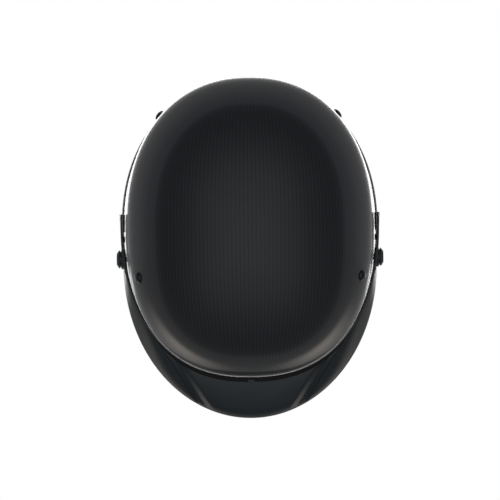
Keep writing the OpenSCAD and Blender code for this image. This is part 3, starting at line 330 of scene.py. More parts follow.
def wallX(y, z, inBy):
    grow = 1.0
    for _ in range(5):
        share = y / ((shell["halfLength"] - inBy) * grow)
        wide = byShare(share, shell["widest"])
        climb = clamp((z - wide) / (shell["crownHeight"] - inBy - wide), 0, 0.99)
        last, grow = grow, (1 - climb ** shell["domeSquare"]) ** (1 / shell["domeSquare"])
    grow = last
    power = shell["frontSquare"] if share < 0 else shell["rearSquare"]
    down = clamp((wide - z) / (wide - byShare(share, shell["rim"])), 0, 1.3)
    drawn = abs(share) if z > wide else abs(y) / (shell["halfLength"] - inBy - tuckAt(share) * down * down)
    px = max(0.0, 1 - drawn ** power) ** (1 / power)
    flare = 0 if z > wide else flareAt(px, down)
    return (shell["halfWidth"] - inBy + flare) * px * (grow if z > wide else 1)


def wallPoint(y, z, inBy=0.0):
    return Vector((wallX(y, z, inBy), y, z))


def wallNormal(y, z):
    return Vector((1, wallX(y - 0.5, z, 0) - wallX(y + 0.5, z, 0),
                   wallX(y, z - 0.5, 0) - wallX(y, z + 0.5, 0))).normalized()


def mirrorX(v):
    return Vector((-v.x, v.y, v.z))


# Mesh makers

def finish(name, bm, material, body, replaces=(), sharp=None):
    # Turns a bmesh in millimetres into a piece that rides on its body, or on none yet
    bmesh.ops.scale(bm, vec=(mm, mm, mm), verts=bm.verts)
    mesh = bpy.data.meshes.new(name)
    bm.to_mesh(mesh)
    bm.free()
    mesh.materials.append(material)
    mesh.shade_smooth()
    if sharp:
        mesh.set_sharp_from_angle(angle=math.radians(sharp))
    piece = linked(bpy.data.objects.new(name, mesh))
    if body:
        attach(piece, body)
    if replaces:
        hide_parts(*replaces)
    return piece


def gridMesh(bm, grid, closeAcross=False, closeAlong=False, uv=None, uvLayer=None, flip=False):
    # Quads between the rows of a grid of points; returns the grid of vertices
    rows = [[bm.verts.new(p) for p in row] for row in grid]
    count, width = len(rows), len(rows[0])
    for r in range(count if closeAlong else count - 1):
        for c in range(width if closeAcross else width - 1):
            r2, c2 = (r + 1) % count, (c + 1) % width
            corners = [rows[r][c], rows[r][c2], rows[r2][c2], rows[r2][c]]
            marks = [(r, c), (r, c + 1), (r + 1, c + 1), (r + 1, c)]
            if flip:
                corners.reverse()
                marks.reverse()
            face = bm.faces.new(corners)
            if uvLayer:
                for loop, mark in zip(face.loops, marks):
                    loop[uvLayer].uv = uv(*mark)
    return rows


def bridge(bm, one, other):
    # Quads between two rows of vertices
    return [bm.faces.new([one[i], one[i + 1], other[i + 1], other[i]]) for i in range(len(one) - 1)]


def closeSides(bm, top, below):
    # Strips that join two grids along their four borders
    for one, other in (([row[0] for row in top], [row[0] for row in below]),
                       ([row[-1] for row in top], [row[-1] for row in below]),
                       (top[0], below[0]), (top[-1], below[-1])):
        bridge(bm, one, other)
    bmesh.ops.recalc_face_normals(bm, faces=bm.faces)


def bowlPiece(name, levels, outer, inner, lift, steps, material, node, uvOf=None):
    # Bowl from the rim to the crown: outer and inner give the distance inside the shell's face
    bm = bmesh.new()
    layer = bm.loops.layers.uv.new("weave") if uvOf else None
    turns = [360 * s / steps for s in range(steps)]
    sides = []
    for side, offset in ((0, outer), (1, inner)):
        grid = [[wallAt(t, level, offset(t, level), lift) for t in turns] for level in levels]
        points = [[uvOf(p) for p in row] for row in grid] if uvOf else None
        rows = gridMesh(bm, grid, closeAcross=True, flip=bool(side),
                        uv=(lambda r, c, points=points: points[r][c % steps]) if uvOf else None, uvLayer=layer)
        top = highWall(0, 90, offset(0, 1))
        pole = bm.verts.new((0, 0, top.z))
        for s in range(steps):
            ring = [rows[-1][s], rows[-1][(s + 1) % steps], pole]
            face = bm.faces.new(ring[::-1] if side else ring)
            if layer:
                for loop in face.loops:
                    loop[layer].uv = uvOf(loop.vert.co)
        sides.append(rows)
    outside, inside = sides[0][0], sides[1][0]
    for face in bridge(bm, inside + inside[:1], outside + outside[:1]):
        if layer:
            for loop in face.loops:
                loop[layer].uv = uvOf(loop.vert.co)
    return finish(name, bm, material, "helmet", replaces=(node,), sharp=50)


def ringPiece(name, section, steps, material, node, sharp=40):
    # Closed ring along the rim: section points are (distance inside the outer face, height above the rim)
    bm = bmesh.new()
    layer = bm.loops.layers.uv.new("length")
    grid = [[lowWall(360 * s / steps, up, inBy) for inBy, up in section] for s in range(steps)]
    gridMesh(bm, grid, closeAcross=True, closeAlong=True, uvLayer=layer,
             uv=lambda r, c: (c / len(section), r * 7.6 / steps))
    bmesh.ops.recalc_face_normals(bm, faces=bm.faces)
    return finish(name, bm, material, "helmet", replaces=(node,), sharp=sharp)


def lathe(bm, profile, steps, place, radiusAt=None):
    # Turned solid: profile points are (radius, height), radiusAt may change a radius by its angle
    grid = []
    for radius, height in profile:
        row = []
        for s in range(steps):
            a = 2 * math.pi * s / steps
            r = radiusAt(radius, height, a) if radiusAt else radius
            row.append(place @ Vector((r * math.cos(a), r * math.sin(a), height)))
        grid.append(row)
    rows = gridMesh(bm, grid, closeAcross=True)
    for row, height, back in ((rows[0], profile[0][1], True), (rows[-1], profile[-1][1], False)):
        bm.faces.new(row[::-1] if back else row)


def softenedCopy(node, name, material, body, width, segments=3, sharp=40):
    # The CAD node's own shape with its edges rounded as moulded and stamped parts have them
    bm = bmesh.new()
    bm.from_mesh(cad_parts[node].data)
    bmesh.ops.scale(bm, vec=(1 / mm, 1 / mm, 1 / mm), verts=bm.verts)
    bmesh.ops.remove_doubles(bm, verts=bm.verts, dist=0.002)
    bmesh.ops.dissolve_limit(bm, angle_limit=math.radians(2), verts=bm.verts, edges=bm.edges)
    edges = [e for e in bm.edges if len(e.link_faces) == 2 and e.calc_face_angle(0) > math.radians(sharp)]
    bmesh.ops.bevel(bm, geom=edges, offset=width, segments=segments, profile=0.5, affect="EDGES",
                    clamp_overlap=True)
    bmesh.ops.triangulate(bm, faces=[f for f in bm.faces if len(f.verts) > 4])
    return finish(name, bm, material, body, replaces=(node,), sharp=sharp)


def paint(node, material):
    # A CAD node whose shape is right keeps it and gets its finish
    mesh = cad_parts[node].data
    mesh.materials.clear()
    mesh.materials.append(material)
    mesh.set_sharp_from_angle(angle=math.radians(35))


def webPiece(name, stations, material, body, nodes, width, thick, closed=False, crown=0.12):
    # Webbing: stations are (point, across, normal); the edges are rounded like a woven selvedge
    bm = bmesh.new()
    layer = bm.loops.layers.uv.new("weave")
    ring = []
    for across, up in ((1, 0.45), (0.985, 0.85), (0.93, 1), (0.6, 1), (0, 1 - crown), (-0.6, 1), (-0.93, 1),
                       (-0.985, 0.85), (-1, 0.45)):
        ring.append((across * width / 2, up * thick / 2))
    ring += [(a, -u) for a, u in reversed(ring)]
    length, marks = 0.0, []
    for i, (point, across, normal) in enumerate(stations):
        if i:
            length += (point - stations[i - 1][0]).length
        marks.append(length)
    grid = [[p + x * a + n * u for a, u in ring] for p, x, n in stations]
    rows = gridMesh(bm, grid, closeAcross=True, closeAlong=closed, uvLayer=layer,
                    uv=lambda r, c: (ring[c % len(ring)][0] / 100, marks[r % len(marks)] / 100))
    if not closed:
        bm.faces.new(rows[0])
        bm.faces.new(rows[-1][::-1])
    bmesh.ops.recalc_face_normals(bm, faces=bm.faces)
    return finish(name, bm, material, body, replaces=nodes, sharp=60)


# Materials

def dress(tree, shader, tone, dark, light, height, values, strength, depth, under=None):
    # Base colour between two shades by the tone, a bump by the height, and the shader's own values
    shade = addNode(tree, "ShaderNodeMix", {0: tone, 6: linear(dark), 7: linear(light)}, data_type="RGBA")
    relief = addNode(tree, "ShaderNodeBump", {"Height": height, "Strength": strength, "Distance": depth})
    if under:
        plug(relief, {"Normal": under})
    plug(shader, {"Base Color": shade, "Normal": relief, **values})


def threadWave(tree, place, pitch):
    # Wave across threads with this pitch in mm; the UV maps count in units of 100 mm
    turn = addNode(tree, "ShaderNodeMath", place, 2 * math.pi * 100 / pitch, operation="MULTIPLY")
    return addNode(tree, "ShaderNodeMath", turn, operation="SINE")


def carbonFibre():
    # Woven carbon cloth in resin under a satin clear coat: tows 1.85 mm wide show as fine front-to-back stripes
    material, tree, shader, _ = newMaterial("carbonFibreSatinCoat")
    towPair = 2 * 1.85  # mm
    weave = addNode(tree, "ShaderNodeUVMap", uv_map="weave")
    across, along = addNode(tree, "ShaderNodeSeparateXYZ", weave).outputs[:2]
    wander = addNode(tree, "ShaderNodeTexNoise", {"Vector": weave, "Scale": 6.0, "Detail": 3.0})
    drifted = addNode(tree, "ShaderNodeMath", wander, 0.012, across, operation="MULTIPLY_ADD")
    warp = threadWave(tree, drifted, towPair)
    checks = addNode(tree, "ShaderNodeMath", warp, threadWave(tree, along, towPair), operation="MULTIPLY")
    stripes = addNode(tree, "ShaderNodeMath", warp, 0.4, 0.5, operation="MULTIPLY_ADD")
    pattern = addNode(tree, "ShaderNodeMath", checks, 0.1, stripes, operation="MULTIPLY_ADD")
    fade = addNode(tree, "ShaderNodeTexNoise", {"Vector": weave, "Scale": 1.7, "Detail": 2.0})
    tone = addNode(tree, "ShaderNodeMix", {0: 0.25, 2: pattern, 3: fade})
    dress(tree, shader, tone, "#1d1f21", "#292b2e", pattern, {
        "Roughness": 0.5, "Specular IOR Level": 0.2, "Coat Weight": 0.7, "Coat Roughness": 0.12,
        "Sheen Weight": 1.0, "Sheen Roughness": 0.18}, strength=0.08, depth=0.0002)
    return material


def mouldedPlastic(name, dark, light, roughness, grain, strength):
    # Injection-moulded ABS or nylon from a spark-eroded tool: an even grain in mm, a little coarse so that it shows
    material, tree, shader, place = newMaterial(name)
    fine = addNode(tree, "ShaderNodeTexNoise", {"Vector": place, "Scale": 1000 / grain, "Detail": 2.0})
    broad = addNode(tree, "ShaderNodeTexNoise", {"Vector": place, "Scale": 22.0, "Detail": 2.0})
    tone = addNode(tree, "ShaderNodeMix", {0: 0.6, 2: fine, 3: broad})
    dress(tree, shader, tone, dark, light, fine, {"Roughness": roughness}, strength, depth=0.0003)
    return material


def extrudedRubber():
    # Extruded EPDM rubber: dull, with a faint bloom and streaks
    material, tree, shader, place = newMaterial("extrudedRubber")
    bloom = addNode(tree, "ShaderNodeTexNoise", {"Vector": place, "Scale": 60.0, "Detail": 4.0, "Roughness": 0.65})
    skin = addNode(tree, "ShaderNodeTexNoise", {"Vector": place, "Scale": 1800.0, "Detail": 2.0})
    dress(tree, shader, bloom, "#1b1b1c", "#2c2c2d", skin, {"Roughness": 0.55}, strength=0.1, depth=0.0002)
    return material


def foamBeads():
    # Moulded expanded polystyrene: fused beads 3 mm across, with thin dark seams between them
    material, tree, shader, place = newMaterial("expandedPolystyrene")
    cells = addNode(tree, "ShaderNodeTexVoronoi", {"Vector": place, "Scale": 1000 / 3.0},
                    feature="DISTANCE_TO_EDGE")
    seam = addNode(tree, "ShaderNodeMapRange", {"Value": cells, "From Max": 0.12})
    dress(tree, shader, seam, "#1d1d1f", "#333335", seam, {"Roughness": 0.75}, strength=0.35, depth=0.0004)
    return material


def grainedLeatherette():
    # PVC leathercloth with an embossed grain of about 1 mm
    material, tree, shader, place = newMaterial("grainedLeatherette")
    cells = addNode(tree, "ShaderNodeTexVoronoi", {"Vector": place, "Scale": 1000 / 1.1, "Smoothness": 0.6},
                    feature="SMOOTH_F1")
    creases = addNode(tree, "ShaderNodeTexNoise", {"Vector": place, "Scale": 120.0, "Detail": 4.0})
    below = addNode(tree, "ShaderNodeBump", {"Height": creases, "Strength": 0.15, "Distance": 0.0006})
    dress(tree, shader, cells, "#242425", "#161617", cells, {"Roughness": 0.48}, strength=0.35, depth=0.0004,
          under=below)
    return material


def wovenCloth(name, dark, light, across, along, roughness=0.85, strength=0.5):
    # Woven or knitted polyester: threads across and along, spacing in mm
    material, tree, shader, place = newMaterial(name)
    u, v = addNode(tree, "ShaderNodeSeparateXYZ", addNode(tree, "ShaderNodeUVMap", uv_map="weave")).outputs[:2]
    ribs, ends = threadWave(tree, v, along), threadWave(tree, u, across)
    threads = addNode(tree, "ShaderNodeMath", ribs, ends, operation="MULTIPLY")
    ridges = addNode(tree, "ShaderNodeMath", ribs, 0.2, 0.5, operation="MULTIPLY_ADD")
    height = addNode(tree, "ShaderNodeMath", threads, 0.3, ridges, operation="MULTIPLY_ADD")
    fuzz = addNode(tree, "ShaderNodeTexNoise", {"Vector": place, "Scale": 400.0, "Detail": 4.0, "Roughness": 0.7})
    tone = addNode(tree, "ShaderNodeMix", {0: 0.4, 2: height, 3: fuzz})
    dress(tree, shader, tone, dark, light, height, {
        "Roughness": roughness, "Sheen Weight": 0.25, "Sheen Roughness": 0.4}, strength, depth=0.0003)
    return material


def platedSteel(name, dark, light, roughness):
    # Zinc or black-nickel plated steel, brushed along one way before plating
    material, tree, shader, place = newMaterial(name)
    stretched = addNode(tree, "ShaderNodeMapping", {"Vector": place, "Scale": (1, 0.06, 1)})
    lines = addNode(tree, "ShaderNodeTexNoise", {"Vector": stretched, "Scale": 900.0, "Detail": 3.0})
    blotch = addNode(tree, "ShaderNodeTexNoise", {"Vector": place, "Scale": 90.0, "Detail": 3.0})
    rough = addNode(tree, "ShaderNodeMapRange", {
        "Value": lines, "To Min": roughness - 0.06, "To Max": roughness + 0.12})
    dress(tree, shader, blotch, dark, light, lines, {"Roughness": rough, "Metallic": 1.0}, strength=0.04,
          depth=0.0001)
    return material


carbon = carbonFibre()
rubber = extrudedRubber()
beads = foamBeads()
leatherette = grainedLeatherette()
padCloth = wovenCloth("brushedKnitPolyester", "#1a1a1c", "#333337", across=1.4, along=1.1)
webCloth = wovenCloth("wovenPolyesterWebbing", "#101011", "#2b2b2e", across=1.6, along=1.3, roughness=0.7,
                      strength=0.8)
ribbonCloth = wovenCloth("redPolyesterRibbon", "#7d0f12", "#c02026", across=1.0, along=0.8, roughness=0.7)
thread = wovenCloth("spunPolyesterThread", "#2c2c2e", "#4a4a4d", across=0.4, along=0.4, roughness=0.8,
                    strength=0.2)
visorPlastic = mouldedPlastic("texturedAbsPeak", "#1c2022", "#2b3033", roughness=0.42, grain=0.5, strength=0.1)
knobPlastic = mouldedPlastic("mouldedNylonKnob", "#202224", "#303235", roughness=0.42, grain=0.6, strength=0.06)
nylon = mouldedPlastic("mouldedNylonBuckle", "#141415", "#232324", roughness=0.45, grain=0.5, strength=0.1)
bareSteel = platedSteel("zincPlatedSteel", "#9a9ca0", "#c4c6c9", roughness=0.25)
blackSteel = platedSteel("blackNickelSteel", "#3a3c3f", "#5c5f63", roughness=0.3)
print("materials made")


# Shell, edge trim, foam liner and its binding

# Lines of the cloth run from front to back and draw together a little at both ends. Each is laid by the angle at
# which it is seen from an eye this many mm below the origin.
cloth = {"eyeAcross": 40, "eyeAlong": 60, "across": 1.88, "along": 2.08}


def weaveAt(p):
    return (math.atan2(p.x, p.z + cloth["eyeAcross"]) * cloth["across"],
            math.atan2(p.y, p.z + cloth["eyeAlong"]) * cloth["along"])


def wallLevels(below, above):
    # Levels from the rim to just under the crown, with this many steps below and above the widest height
    return [-1 + i / below for i in range(below)] + [i / above for i in range(above)]


bowlPiece("carbonShell", wallLevels(14, 60), lambda t, level: 0.0, lambda t, level: shell["wall"], lift=0.0,
          steps=240, material=carbon, node="outer_shell", uvOf=weaveAt)

trim = {"wall": 1.9, "height": 8, "innerHeight": 6, "fit": 0.2, "round": 1.2, "roundSteps": 5}


def bend(x, y, radius, steps, side):
    # Quarter turn of a section below a corner: 1 for its outside corner and -1 for its inside one
    turn = [(x + side * (1 - math.cos(a)) * radius, y + (1 - math.sin(a)) * radius)
            for a in (math.pi / 2 * i / steps for i in range(steps + 1))]
    return turn[::side]


def trimSection():
    outside, inside = -trim["wall"] - trim["fit"], shell["wall"] + trim["fit"] + trim["wall"]
    foot = bend(outside, -trim["wall"], trim["round"], trim["roundSteps"], 1)
    heel = bend(inside, -trim["wall"], trim["round"], trim["roundSteps"], -1)
    lip = [(-trim["fit"] - out, trim["height"] - down)  # the outer leg thins towards its edge
           for out, down in ((0, 0), (0.15, -0.35), (0.45, -0.25), (0.75, 0.6), (1.05, 1.9), (1.4, 3.3), (1.7, 4.5),
                             (1.85, 5.4))]
    top = [(inside, trim["innerHeight"] - 1), (inside - 0.5, trim["innerHeight"] - 0.2),
           (inside - 0.95, trim["innerHeight"]), (inside - 1.5, trim["innerHeight"] - 0.1)]
    inner = [(shell["wall"] + trim["fit"], trim["innerHeight"] - 0.4), (shell["wall"] + trim["fit"], -trim["fit"]),
             (-trim["fit"], -trim["fit"])]
    return lip + foot + heel + top + inner


ringPiece("edgeTrim", trimSection(), 240, rubber, "edge_trim")

web = {"width": 20, "thick": 1.6, "dip": 1.35, "sewn": 22, "pastRivet": 8, "rimGap": 0.6}
liner = {
    "gap": 0.7, "wall": 22, "lift": 4, "webGap": 3.2, "step": 9, "binding": 1.6, "bindingIn": 0.3,
    "slotDepth": 6.2, "slotReach": 17, "slotFade": 5,   # hollow along the webbing
    "holeDepth": 9.5, "holeReach": 12, "holeFade": 4,   # hollow round a visor insert
}
trimIn = shell["wall"] + trim["fit"] + trim["wall"]
webIn = trimIn + liner["webGap"] - web["thick"] / 2 - web["rimGap"]
bindingOut = trimIn + liner["webGap"]
foamFoot = bindingOut + liner["binding"] + trim["fit"]
foamOut = shell["wall"] + liner["gap"]
foamIn = foamOut + liner["wall"]

# Webbing legs: rivet (y, z), where the leg leaves the rim, its slot's angle, and how deep it lies halfway down
webAtRivet = shell["wall"] + web["dip"] + web["thick"] / 2
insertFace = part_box("left_screw")[0].x / mm
axisY, axisZ = -28.8, 38
visorAxis = Vector((0, axisY, axisZ))
overInsert = wallX(axisY, axisZ, 0) - insertFace + liner["gap"] + web["thick"] / 2
legs = {
    "front": {"rivet": (-45.4, 88), "exit": -9, "slotTurn": 26, "deep": overInsert},
    "rear": {"rivet": (101.2, 38), "exit": 51, "slotTurn": -40, "deep": webIn},
}


def legOnWall(leg, steps=28):
    # From past the rivet to the rim, in seven parts: one at the rivet's depth, two down to the leg's own depth,
    # one along it, two to the rim's depth and one along that
    parts = 7
    share = leg["exit"] / shell["halfLength"]
    low = byShare(share, shell["rim"]) - trim["wall"]
    start, stop = Vector(leg["rivet"]), Vector((leg["exit"], low))
    heading = (stop - start).normalized()
    over = start - heading * web["pastRivet"]
    stations = []
    for s in range(steps + 1):
        i = parts * s / steps
        p = over.lerp(stop, i / parts)
        depth = (mix(webAtRivet, leg["deep"], ease(clamp((i - 1) / 2))) if i < 4
                 else mix(leg["deep"], webIn, ease(clamp((i - 4) / 2))))
        normal = wallNormal(p.x, max(p.y, byShare(share, shell["rim"]) + 2))
        after = p + heading
        run = (wallPoint(after.x, after.y) - wallPoint(p.x, p.y)).normalized()
        stations.append((wallPoint(p.x, p.y) - normal * depth, normal.cross(run).normalized(), normal))
    return stations


legPoints = [s[0] for leg in legs.values() for s in legOnWall(leg)]


def foamOuter(t, level):
    # The foam keeps clear of the webbing, the rivets' tails and the visor's inserts
    base = mix(foamFoot, foamOut, ease(clamp((level + 0.66) * 3)))
    p = wallAt(t, level, base, liner["lift"])
    side = Vector((abs(p.x), p.y, p.z))
    near = min((side - q).length for q in legPoints)
    dip = liner["slotDepth"] * ease(clamp((liner["slotReach"] - near) / liner["slotFade"]))
    away = (side - Vector((insertFace, visorAxis.y, visorAxis.z))).length
    hole = ease(clamp((liner["holeReach"] - away) / liner["holeFade"]))
    return max(base + dip, mix(base, liner["holeDepth"], hole))


bowlPiece("foamLiner", wallLevels(16, 40), foamOuter, lambda t, level: foamIn, lift=liner["lift"], steps=180,
          material=beads, node="eps_liner")


def bindingSection():
    foot, thick = liner["lift"] - liner["bindingIn"], liner["binding"]
    low = foot - thick
    return ([(bindingOut, liner["step"])] + bend(bindingOut, low, thick, 4, 1)
            + [(mix(bindingOut, foamIn, k / 6), low) for k in range(1, 6)] + bend(foamIn, low, thick, 4, -1)
            + [(foamIn, foot), (bindingOut + thick, foot), (bindingOut + thick, liner["step"])])


ringPiece("rimBinding", bindingSection(), 200, leatherette, "rim_binding")
print("shell, trim, liner and binding made")


# Comfort pads

pads = {
    "thick": 9, "seam": 1.6, "crownThick": 8, "gap": 3, "browHalf": 44, "napeHalf": 40, "lobes": 6,
    "gathers": 19, "gatherDepth": 0.1, "channelDepth": 0.3, "grooveDepth": 0.25, "drawIn": 0.012,
    "bow": 0.08, "lobeDepth": 0.35, "crownGathers": 48, "crownGatherDepth": 0.05,
}


def swell(w):
    return max(0.0, 1 - abs(2 * w - 1) ** 4) ** 0.5


def pucker(w, h):
    # Small gathers where the cover is drawn into its seam
    edge = 1 - min(1.0, 4 * min(w, 1 - w, h, 1 - h))
    wave = math.sin(2 * math.pi * pads["gathers"] * w) * math.cos(math.pi * pads["gathers"] * h)
    return 1 - pads["gatherDepth"] * edge * (0.5 + 0.5 * wave)


def coverPad(name, bm, node, sharp=70):
    piece = finish(name, bm, padCloth, "helmet", replaces=(node,), sharp=sharp)


def wallPad(name, node, start, stop, top, channels, mirrored=False, cols=110, rows=44):
    bm = bmesh.new()
    layer = bm.loops.layers.uv.new("weave")
    grids = []
    for inner in (False, True):
        grid = []
        for r in range(rows + 1):
            row = []
            for c in range(cols + 1):
                w, h = c / cols, r / rows
                sewn = 1 - pads["channelDepth"] * abs(math.cos(math.pi * channels * w)) ** 6
                groove = 1 - pads["grooveDepth"] * math.exp(-(((channels * w) % 1 - 0.5) / 0.5 * 22 - 22) ** 2 / 3)
                thick = pads["seam"] + (pads["thick"] - pads["seam"]) * swell(w) * swell(h) * sewn * pucker(w, h)
                thick = max(pads["seam"], thick * min(1.0, groove))
                drawn = pads["drawIn"] * (stop - start) * (2 * w - 1) * (1 - abs(2 * h - 1))
                p = wallAt(mix(start, stop, w) - drawn, mix(-1, top, h),
                           foamIn + liner["gap"] + (thick if inner else 0), liner["lift"])
                row.append(mirrorX(p) if mirrored else p)
            grid.append(row)
        grids.append(grid)
    width = (grids[0][rows // 2][-1] - grids[0][rows // 2][0]).length * 1.1
    rise = (grids[0][-1][cols // 2] - grids[0][0][cols // 2]).length * 1.05

    def clothPoint(r, c):
        return width * c / cols / 100, rise * r / rows / 100

    closeSides(bm, gridMesh(bm, grids[0], uvLayer=layer, uv=clothPoint),
               gridMesh(bm, grids[1], uvLayer=layer, uv=clothPoint, flip=True))
    coverPad(name, bm, node)
    middle = [[p.lerp(q, 0.5) for p, q in zip(*pair)] for pair in zip(*grids)]
    return borderOf(middle, 0), borderOf(grids[1], 3)


def borderOf(grid, inset):
    # Points round a grid, a few rows inside its edge
    inside = [row[inset:len(row) - inset] for row in grid[inset:len(grid) - inset]]
    edge = [inside[0], [row[-1] for row in inside], inside[-1][::-1], [row[0] for row in inside][::-1]]
    return [p for side in edge for p in side[:-1]]


# Name, node, first and last angle, top level and sewn channels
sideSpan = (-90 + pads["browHalf"] + pads["gap"], 90 - pads["napeHalf"] - pads["gap"])
padEdges = []
for padName, node, span, top, channels, mirrored in (
        ("browPad", "brow_pad", (-90 - pads["browHalf"], -90 + pads["browHalf"]), 0.16, 5, False),
        ("napePad", "nape_pad", (90 - pads["napeHalf"], 90 + pads["napeHalf"]), 0.3, 5, False),
        ("leftSidePad", "left_side_pad", sideSpan, 0.42, 4, False),
        ("rightSidePad", "right_side_pad", sideSpan, 0.42, 4, True)):
    padEdges.append((padName, *wallPad(padName, node, *span, top, channels, mirrored)))


def crownPad(rows=30, steps=180, edge=0.5):
    bm = bmesh.new()
    layer = bm.loops.layers.uv.new("weave")
    sides, grids = [], []
    for inner in (False, True):
        grid = []
        for r in range(1, rows + 1):
            row = []
            for s in range(steps):
                share, turn = r / rows, 360 * s / steps
                bow = 1 - pads["bow"] * (1 - math.cos(math.radians(pads["lobes"] * turn))) * share
                level = 1 - (1 - edge) * share * bow
                seam = abs(math.cos(math.radians(pads["lobes"] / 2 * turn))) ** 8
                sewn = 1 - pads["lobeDepth"] * seam * share
                wave = math.sin(math.radians(pads["crownGathers"] * turn))
                gather = 1 - pads["crownGatherDepth"] * share ** 6 * (1 + wave)
                thick = pads["seam"] + (pads["crownThick"] - pads["seam"]) * (1 - share ** 4) ** 0.5 * sewn * gather
                row.append(highWall(turn, 90 * level, foamIn + liner["gap"] + (thick if inner else 0)))
            grid.append(row)
        rowsOf = gridMesh(bm, grid, closeAcross=True, uvLayer=layer,
                          uv=lambda r, c, g=grid: (g[r][c % steps].x / 100, g[r][c % steps].y / 100))
        middle = shell["crownHeight"] - foamIn - liner["gap"] - (pads["crownThick"] if inner else 0)
        pole = bm.verts.new((0, 0, middle))
        for s in range(steps):
            face = bm.faces.new([rowsOf[0][s], rowsOf[0][(s + 1) % steps], pole])
            for loop in face.loops:
                loop[layer].uv = (loop.vert.co.x / 100, loop.vert.co.y / 100)
        sides.append(rowsOf)
        grids.append(grid)
    outside, inside = sides[0][-1], sides[1][-1]
    bridge(bm, outside + outside[:1], inside + inside[:1])
    bmesh.ops.recalc_face_normals(bm, faces=bm.faces)
    coverPad("crownPad", bm, "crown_pad")
    return [p.lerp(q, 0.5) for p, q in zip(grids[0][-1], grids[1][-1])], grids[1][-3]


padEdges.append(("crownPad", *crownPad()))
print("comfort pads made")


# Peak visor with its two arms

visor = {
    "wall": 2.4, "armWall": 1.9, "armGap": 2.6, "browGap": 4.4, "templeIn": 1.3, "halfWidth": 115.3,
    "reach": 138.6, "splay": 3.3, "armEnd": 11.9, "armLow": 25, "armHigh": 51, "backHeight": 60,
    "lipHeight": 43.5, "bladeRise": 1.8, "bandDrop": 1.8, "blade": (57.4, 33), "foot": (70.2, 39.1),
    "ridge": (84, 49.2), "ridgeStep": 1.5, "tabHalf": 3, "tabGap": 2.3,
    "middleShare": 35.2 / 136,  # the front edge's middle lies this share of the shell's half length forward
}
visorY = -visor["middleShare"] * shell["halfLength"]
templeAngle = -math.degrees(math.asin((-visorY / (shell["halfLength"] + visor["armGap"]))
                                      ** (shell["frontSquare"] / 2)))


def backEdge(t):
    px, py = planPoint(t)
    front = max(0, -py)
    gap = mix(visor["armGap"], visor["browGap"], front ** 6) - visor["templeIn"] * math.sin(math.pi * front) ** 2
    return Vector(((shell["halfWidth"] + gap) * px, (shell["halfLength"] + gap) * py))


def backAngle(x):
    share = x / (shell["halfWidth"] + visor["armGap"])
    return -math.degrees(math.acos(clamp(share ** (shell["frontSquare"] / 2))))


def frontEdge(turn):
    a = math.radians(turn)
    return Vector((visor["halfWidth"] * math.cos(a), visorY - visor["reach"] * math.sin(a)))


def frontTurn(x):
    return math.degrees(math.acos(clamp(x / visor["halfWidth"])))


def armOuter(y):
    return visor["halfWidth"] + visor["splay"] * max(0, y - visorY) / (visor["armEnd"] - visorY)


def visorHalf():
    # From the middle outwards: point on the back edge, point on the front edge, relief of the facet, front turn
    armAngle = math.degrees(math.asin((visor["armEnd"] / (shell["halfLength"] + visor["armGap"]))
                                      ** (shell["rearSquare"] / 2)))
    step = visor["ridgeStep"]
    breaks = [
        (-90, 90, visor["bladeRise"], 14),
        (backAngle(visor["blade"][0]), frontTurn(visor["blade"][1]), visor["bladeRise"], 5),
        (backAngle(visor["foot"][0]), frontTurn(visor["foot"][1]), -visor["bandDrop"], 5),
        (backAngle(visor["ridge"][0] - step), frontTurn(visor["ridge"][1] - step), -visor["bandDrop"], 3),
        (backAngle(visor["ridge"][0]), frontTurn(visor["ridge"][1]), 0, 34),
        (templeAngle, 0, 0, 0)]
    half = []
    for a, b in zip(breaks, breaks[1:]):
        for s in range(a[3]):
            w = s / a[3]
            half.append((backEdge(mix(a[0], b[0], w)), frontEdge(mix(a[1], b[1], w)), mix(a[2], b[2], w),
                         mix(a[1], b[1], w)))
    for s in range(17):
        b = backEdge(mix(templeAngle, armAngle, s / 16))
        half.append((b, Vector((armOuter(b.y), b.y)), 0, 0))
    return half


# Share along the section, height on the arm and height on the peak
visorSection = [(0, 1, 0), (0.12, 0.93, 0.025), (0.24, 0.84, 0.07), (0.35, 0.74, 0.12), (0.47, 0.62, 0.19),
                (0.58, 0.49, 0.27), (0.7, 0.35, 0.36), (0.79, 0.24, 0.45), (0.87, 0.15, 0.55), (0.94, 0.08, 0.66),
                (0.975, 0.03, 0.8), (1, 0, 1)]


def visorRow(station, under):
    back, front, relief, turn = station
    reach = front - back
    far = reach.length
    heading = reach / far if far > 6 else Vector((math.cos(math.radians(turn)), -math.sin(math.radians(turn))))
    lean = ease(clamp(math.sin(math.radians(turn)) * 1.1))
    length = max(0, reach.dot(heading) - visor["armWall"] * (1 - lean))
    row = []
    for k, (along, armShare, peakShare) in enumerate(visorSection):
        lip = k == len(visorSection) - 1
        if under:
            out = length * along + (-visor["wall"] * lean if lip else 0)
        else:
            out = length * along + visor["armWall"] * (1 - lean)
        high = mix(mix(visor["armHigh"], visor["armLow"], 1 - armShare),
                   mix(visor["backHeight"], visor["lipHeight"], peakShare), lean)
        fade = 1 - 0.6 * clamp((along - 0.9) / 0.1)
        high += relief * min(1, 2 * lean) * fade - (0 if not under or lip else visor["wall"] * lean)
        spot = back + heading * out
        row.append(Vector((spot.x, spot.y, high)))
    return row


